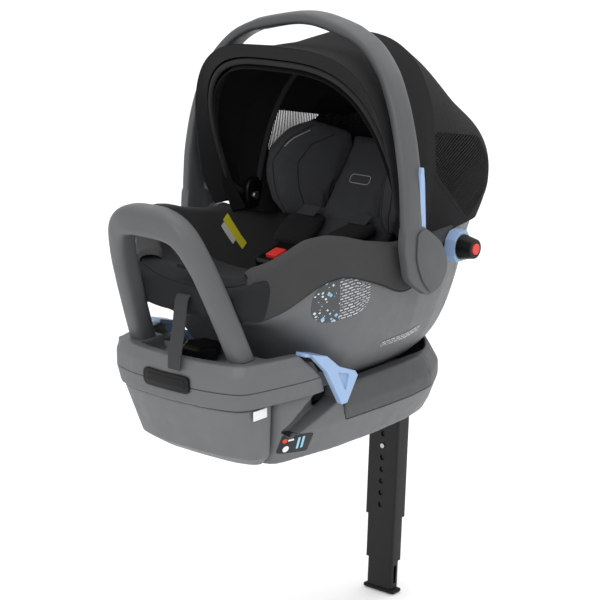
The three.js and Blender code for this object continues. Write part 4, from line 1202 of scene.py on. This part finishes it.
def make_soft_goods():
    back = cushion_blank("head_back_pad", [[x, y, z] for x in (-54, 54) for y, z in (
        (60, 284), (84, 276), (150, 400), (168, 392), (158, 410))] + [
            [x, 64, 290] for x in (-48, 48)], 5, 4, 4, 4)
    wings = {}
    for side, sign in SIDES:
        wings[side] = cushion_blank(f"head_wing_{side}", on_side(WING, sign), 5, 7, 4, 6)
    insert_path = resampled([[0, -146, 140], [0, -128, 186], [0, -62, 203], [0, 0, 232], [0, 44, 262],
                             [0, 76, 272], [0, 100, 300]], 30, 5)
    rows = []
    tangent = np.gradient(insert_path, axis=0)
    for i, centre in enumerate(insert_path):
        normal = np.array([0, -tangent[i][2], tangent[i][1]])
        normal /= np.linalg.norm(normal)
        width = 88 - 12 * abs(i / 29 - 0.5)
        rows.append([centre + np.array([u, 0, 0]) + normal * v for u, v in superellipse(width, 11, 28, 0.5)])
    insert = solid("body_pad", rows)
    insert = soft_blank(insert, 5, 4, 4, 5)
    pads = {}
    for side, sign in SIDES:
        pads[side] = soft_blank(shoulder_blank(f"shoulder_pad_soft_{side}", sign), 4, 4, 3, 4)
    front = soft_blank(front_pad_blank(), 5, 5, 4, 6)
    inflate_cushions()

    edge = [[-122, -258, 272], [-80, -280, 268], [0, -292, 266], [80, -280, 268], [122, -258, 272]]
    crease = [[-130, -196, 262], [-70, -206, 254], [0, -208, 252], [70, -206, 254], [130, -196, 262]]
    sewn(front, edge, 5, 2.0)
    sewn(front, crease, 6, 2.4)
    refine_cushion(front)
    finish_piece(front, "carrier", MAT["front_knit"])
    edge = [[x, -292 + abs(x / 122) ** 2 * 34, 268] for x in np.linspace(-122, 122, 40)]
    cord = tube("front_pad_piping", on_surface(front, edge, 0.5, 60), 1.4, 8)
    shade(cord)
    finish_piece(cord, "carrier", MAT["piping"])
    for side, sign in SIDES:
        wing = wings[side]
        outer, inner, bead = (on_side(line, sign) for line in (OUTER_SEAM, INNER_SEAM, WING_BEAD))
        sewn(wing, outer, 6, 2.6)
        sewn(wing, inner, 6, 2.2)
        refine_cushion(wing)
        finish_piece(wing, "head_cushion", MAT["seat_knit"])
        for name, seam in (("outer", outer), ("inner", inner)):
            welt = tube(f"wing_seam_{name}_{side}", on_surface(wing, seam, -0.1, 50), 1.1, 6)
            shade(welt)
            finish_piece(welt, "head_cushion", MAT["piping"])
        cord = tube(f"wing_piping_{side}", on_surface(wing, bead, 0.3, 30), 0.9, 6)
        shade(cord)
        finish_piece(cord, "head_cushion", MAT["light_piping"])
    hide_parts("head_cushion")
    for x in (-36, 36):
        sewn(back, [[x, 66, 290], [x, 110, 344], [x, 152, 402]], 5, 1.8)
    refine_cushion(back)
    finish_piece(back, "head_cushion", MAT["seat_knit"])
    badge(back)
    for v in [-0.6, 0, 0.6]:
        sewn(insert, [[v * 80, -120, 205], [v * 76, -60, 214], [v * 70, 0, 243], [v * 66, 46, 273]], 5, 1.8)
    refine_cushion(insert)
    finish_piece(insert, "carrier", MAT["seat_knit"], ["body_insert"])
    for side, sign in SIDES:
        pad = pads[side]
        refine_cushion(pad)
        finish_piece(pad, "carrier", MAT["black_knit"], [f"shoulder_pad_{side}"])


def badge(back):
    """A blank rounded outline stitched on the back pad."""
    outline = [[x, 110 + (z - 344) * 0.7, z] for x, z in round_outline([(-19, 338), (19, 338), (19, 350),
                                                                        (-19, 350)], 5)]
    outline.append(outline[0])
    patch = tube("badge_outline", on_surface(back, outline, 0.4, 90), 0.7, 6)
    shade(patch)
    finish_piece(patch, "head_cushion", MAT["light_piping"])


def shoulder_blank(name, sign):
    """Long pad, thicker in its middle, turned as the CAD pad is."""
    rows = []
    for t in np.linspace(-1, 1, 22):
        wide = 32 * (1 - 0.12 * t * t) * (1 - max(0, abs(t) - 0.86) * 1.6)
        rows.append([[u, t * 44, v] for u, v in superellipse(wide, 8.5 * (1 - 0.2 * t * t), 22, 0.6)])
    pad = solid(name, rows)
    turn = Matrix.Rotation(math.radians(-18 * sign), 4, "Z") @ Matrix.Rotation(math.radians(17), 4, "X")
    pad.data.transform(Matrix.Translation(Vector((45 * sign, 12, 281)) * MM) @ turn)
    return pad


# ---- webbing -------------------------------------------------------------------------------
def strap(name, path, width, body, stands_for=(), across=(1, 0, 0), count=40, thick=1.8):
    rows = strap_rows(resampled(path, count, 3), width, thick, across)
    made = solid(name, rows)
    shade(made, 60)
    return finish_piece(made, body, MAT["webbing"], stands_for)


def make_webbing():
    route = [[3, -286, 246], [3, -299, 247], [5, -305, 238], [12, -319, 200], [20, -336, 169],
             [20, -337, 150]]
    strap("adjuster_webbing", route, 24, "carrier", ["adjuster_strap"])
    strap("crotch_webbing", [[0, -115, 142], [0, -113, 190], [0, -110, 236]], 38, "carrier",
          ["crotch_strap"])
    for side, sign in SIDES:
        low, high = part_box(f"shoulder_strap_{side}")
        middle = (low + high) / 2 / MM
        route = [[middle.x, middle.y + y, middle.z + z] for y, z in ((-9, -5), (0, 0), (9, 6))]
        strap(f"shoulder_webbing_{side}", route, 34, "carrier", [f"shoulder_strap_{side}"],
              count=12)


def make_gather():
    """The gathered elastic edge of the canopy's lining across the head end of the seat."""
    line = resampled([[-132, 96, 404], [-108, 140, 424], [-60, 176, 428], [0, 188, 426], [60, 176, 428],
                      [108, 140, 424], [132, 96, 404]], 150, 6)
    radius = []
    for i in range(len(line)):
        line[i, 2] += 3.0 * math.sin(i * 0.9) + 2 * math.sin(i * 2.3)
        line[i, 1] += 3.0 * math.sin(i * 1.3 + 1)
        radius.append(8.5 + 2.6 * math.sin(i * 1.15) + 1.6 * math.sin(i * 2.1 + 2))
    band = tube("lining_gather", eased(line, 1), radius, 14, 0.75)
    shade(band)
    finish_piece(band, "carrier", MAT["liner"])
    rows = []
    for k, (x, y, z) in enumerate(line[::2]):
        top = np.array([x, y, z])
        foot = np.array([x * 1.02, y + 16, z - 46 + 2.5 * math.sin(k * 0.9)])
        rows.append([top, foot, foot + [0, 2.2, 0], top + [0, 2.2, 0]])
    skirt = solid("lining_skirt", rows)
    shade(skirt)
    finish_piece(skirt, "carrier", MAT["liner"])


# ---- printed and fitted details ------------------------------------------------------------
def corner_rounded(x, y, width, height, corner):
    """Point of a rectangle, drawn in where the corner is round."""
    over_x, over_y = abs(x) - (width / 2 - corner), abs(y) - (height / 2 - corner)
    if over_x > 0 and over_y > 0:
        scale = max(over_x, over_y) / math.hypot(over_x, over_y)
        x = math.copysign(width / 2 - corner + over_x * scale, x)
        y = math.copysign(height / 2 - corner + over_y * scale, y)
    return x, y


def patch(name, target, centre, normal, up, width, height, material, body, slot, rounding=0.3, lift=0.25,
          turn=0.0):
    """Rounded panel laid on target round a point in mm, following its surface."""
    normal = Vector(normal).normalized()
    side = Vector(up).cross(normal).normalized()
    up = normal.cross(side)
    if turn:
        twist = Matrix.Rotation(math.radians(turn), 3, normal)
        side, up = twist @ side, twist @ up
    tree = surface_tree(baked_copy(target))
    rows = []
    corner = min(width, height) * rounding
    for b in np.linspace(-1, 1, 15):
        row = []
        for a in np.linspace(-1, 1, 19):
            x, y = corner_rounded(a * width / 2, b * height / 2, width, height, corner)
            start = (Vector(centre) + side * x + up * y + normal * 40) * MM
            place = tree.ray_cast(start, -normal, 0.12)[0]
            if place is None:
                place = tree.find_nearest((Vector(centre) + side * x + up * y) * MM)[0]
            row.append(list((place + normal * lift * MM) / MM))
        rows.append(row)
    made = new_object(name, grid_mesh(name, rows))
    thickened(made, 0.2, 1)
    baked(made)
    flipped = sum((Vector(p.normal).dot(normal) * p.area for p in made.data.polygons[:100]))
    if flipped < 0:
        made.data.flip_normals()
    shade(made, 40)
    return finish_piece(made, body, MAT[material])


def name_plate(index, width, height, material, proud, stands_for=()):
    """Blank rounded plate on the front of the rim, curved as the rim is."""
    rows = []
    for b in np.linspace(-1, 1, 15):
        row = []
        for a in np.linspace(-1, 1, 41):
            x, z = corner_rounded(a * width / 2, b * height / 2, width, height, height * 0.32)
            row.append([x, -334 - proud + 5 * (x / 70) ** 2 + max(0, -z - 3) * 0.18, 129 + z])
        rows.append(row)
    made = new_object(f"front_plate_{index}", grid_mesh(f"front_plate_{index}", rows))
    thickened(made, 3.2, -1 if made.data.polygons[0].normal.y < 0 else 1)
    eased_edges(made, 0.7, 2)
    baked(made)
    shade(made, 40)
    finish_piece(made, "base", MAT[material], stands_for)


def baked_copy(obj):
    depsgraph = bpy.context.evaluated_depsgraph_get()
    return bpy.data.meshes.new_from_object(obj.evaluated_get(depsgraph))


HUB_CAP = [[-42, 322], [-44, 281], [-30, 250], [-8, 226], [16, 236], [29, 256], [28, 276], [14, 300],
           [-22, 326]]
# marks on the base's side film: name, place, width, height, material, slot, rounding
SIDE_MARKS = (("dot", (128, -224, 38), 7, 7, "red", "red_plastic", 0.5),
              ("disc", (130, -220, 24), 10, 10, "white", "white_plastic", 0.5),
              ("bar", (129, -214, 38), 10, 2.6, "white", "white_plastic", 0.2),
              ("bar_a", (134, -200, 30), 4, 19, "sky", "light_blue", 0.2),
              ("bar_b", (135, -192, 30), 4, 19, "sky", "light_blue", 0.2))


def make_details():
    thing = bpy.data.objects
    name_plate(0, 88, 26, "black", 2.2, ["name_plate"])
    name_plate(1, 74, 15, "black", 2.7)
    for side, sign in SIDES:
        cover = plate("hub_cap_" + side, round_outline(HUB_CAP, 11, 6), sign * 218.6, sign * 222.4)
        eased_edges(cover, 1.2)
        baked(cover)
        shade(cover, 35)
        finish_piece(cover, "handle", MAT["hub_grey"], [f"handle_hub_cover_{side}"])
    shell = thing["carrier_shell"]
    for side, sign in SIDES:
        patch("shell_label_" + side, shell, (sign * 187, -150, 238), (sign, 0, -0.12), (0, 0, 1), 98, 64,
              "print",
              "carrier", "shell_grey", 0.44, turn=sign * 8)
    patch("shell_bars_left", shell, (172, 8, 140), (1, 0, -0.35), (0, -0.22, 1), 96, 13, "print_bars",
          "carrier",
          "shell_grey", 0.1, turn=-10)
    base = thing["base_lower_shell_skin"]
    wall = (0.98, -0.2, 0)
    patch("side_film", base, (134, -204, 30), wall, (0, 0.12, 1), 56, 30, "side_dark", "base", "base_grey",
          0.12)
    film = thing["side_film"]
    for name, place, width, height, material, slot, rounding in SIDE_MARKS:
        patch("side_mark_" + name, film, place, wall, (0, 0, 1), width, height, material, "base", slot,
              rounding)
    seat = thing["seat_cover_cloth"]
    patch("side_tag", seat, (-160, -2, 262), (1, 0, 0.25), (0, 1, 0.3), 14, 66, "tag", "carrier",
          "seat_fabric",
          0.1, 1.0, turn=-70)
    patch("side_tag_end", seat, (-160, -16, 262), (1, 0, 0.25), (0, 1, 0.3), 9, 40, "tag_white", "carrier",
          "seat_fabric", 0.1, 0.6, turn=-70)


# ---- run -----------------------------------------------------------------------------------
make_camera()
make_light()
make_floor()
make_soft_goods()
refine_plain_pieces()
make_shell()
make_seat_cover()
make_canopy()
make_bows()
make_handle()
make_bar()
make_webbing()
make_gather()
make_details()
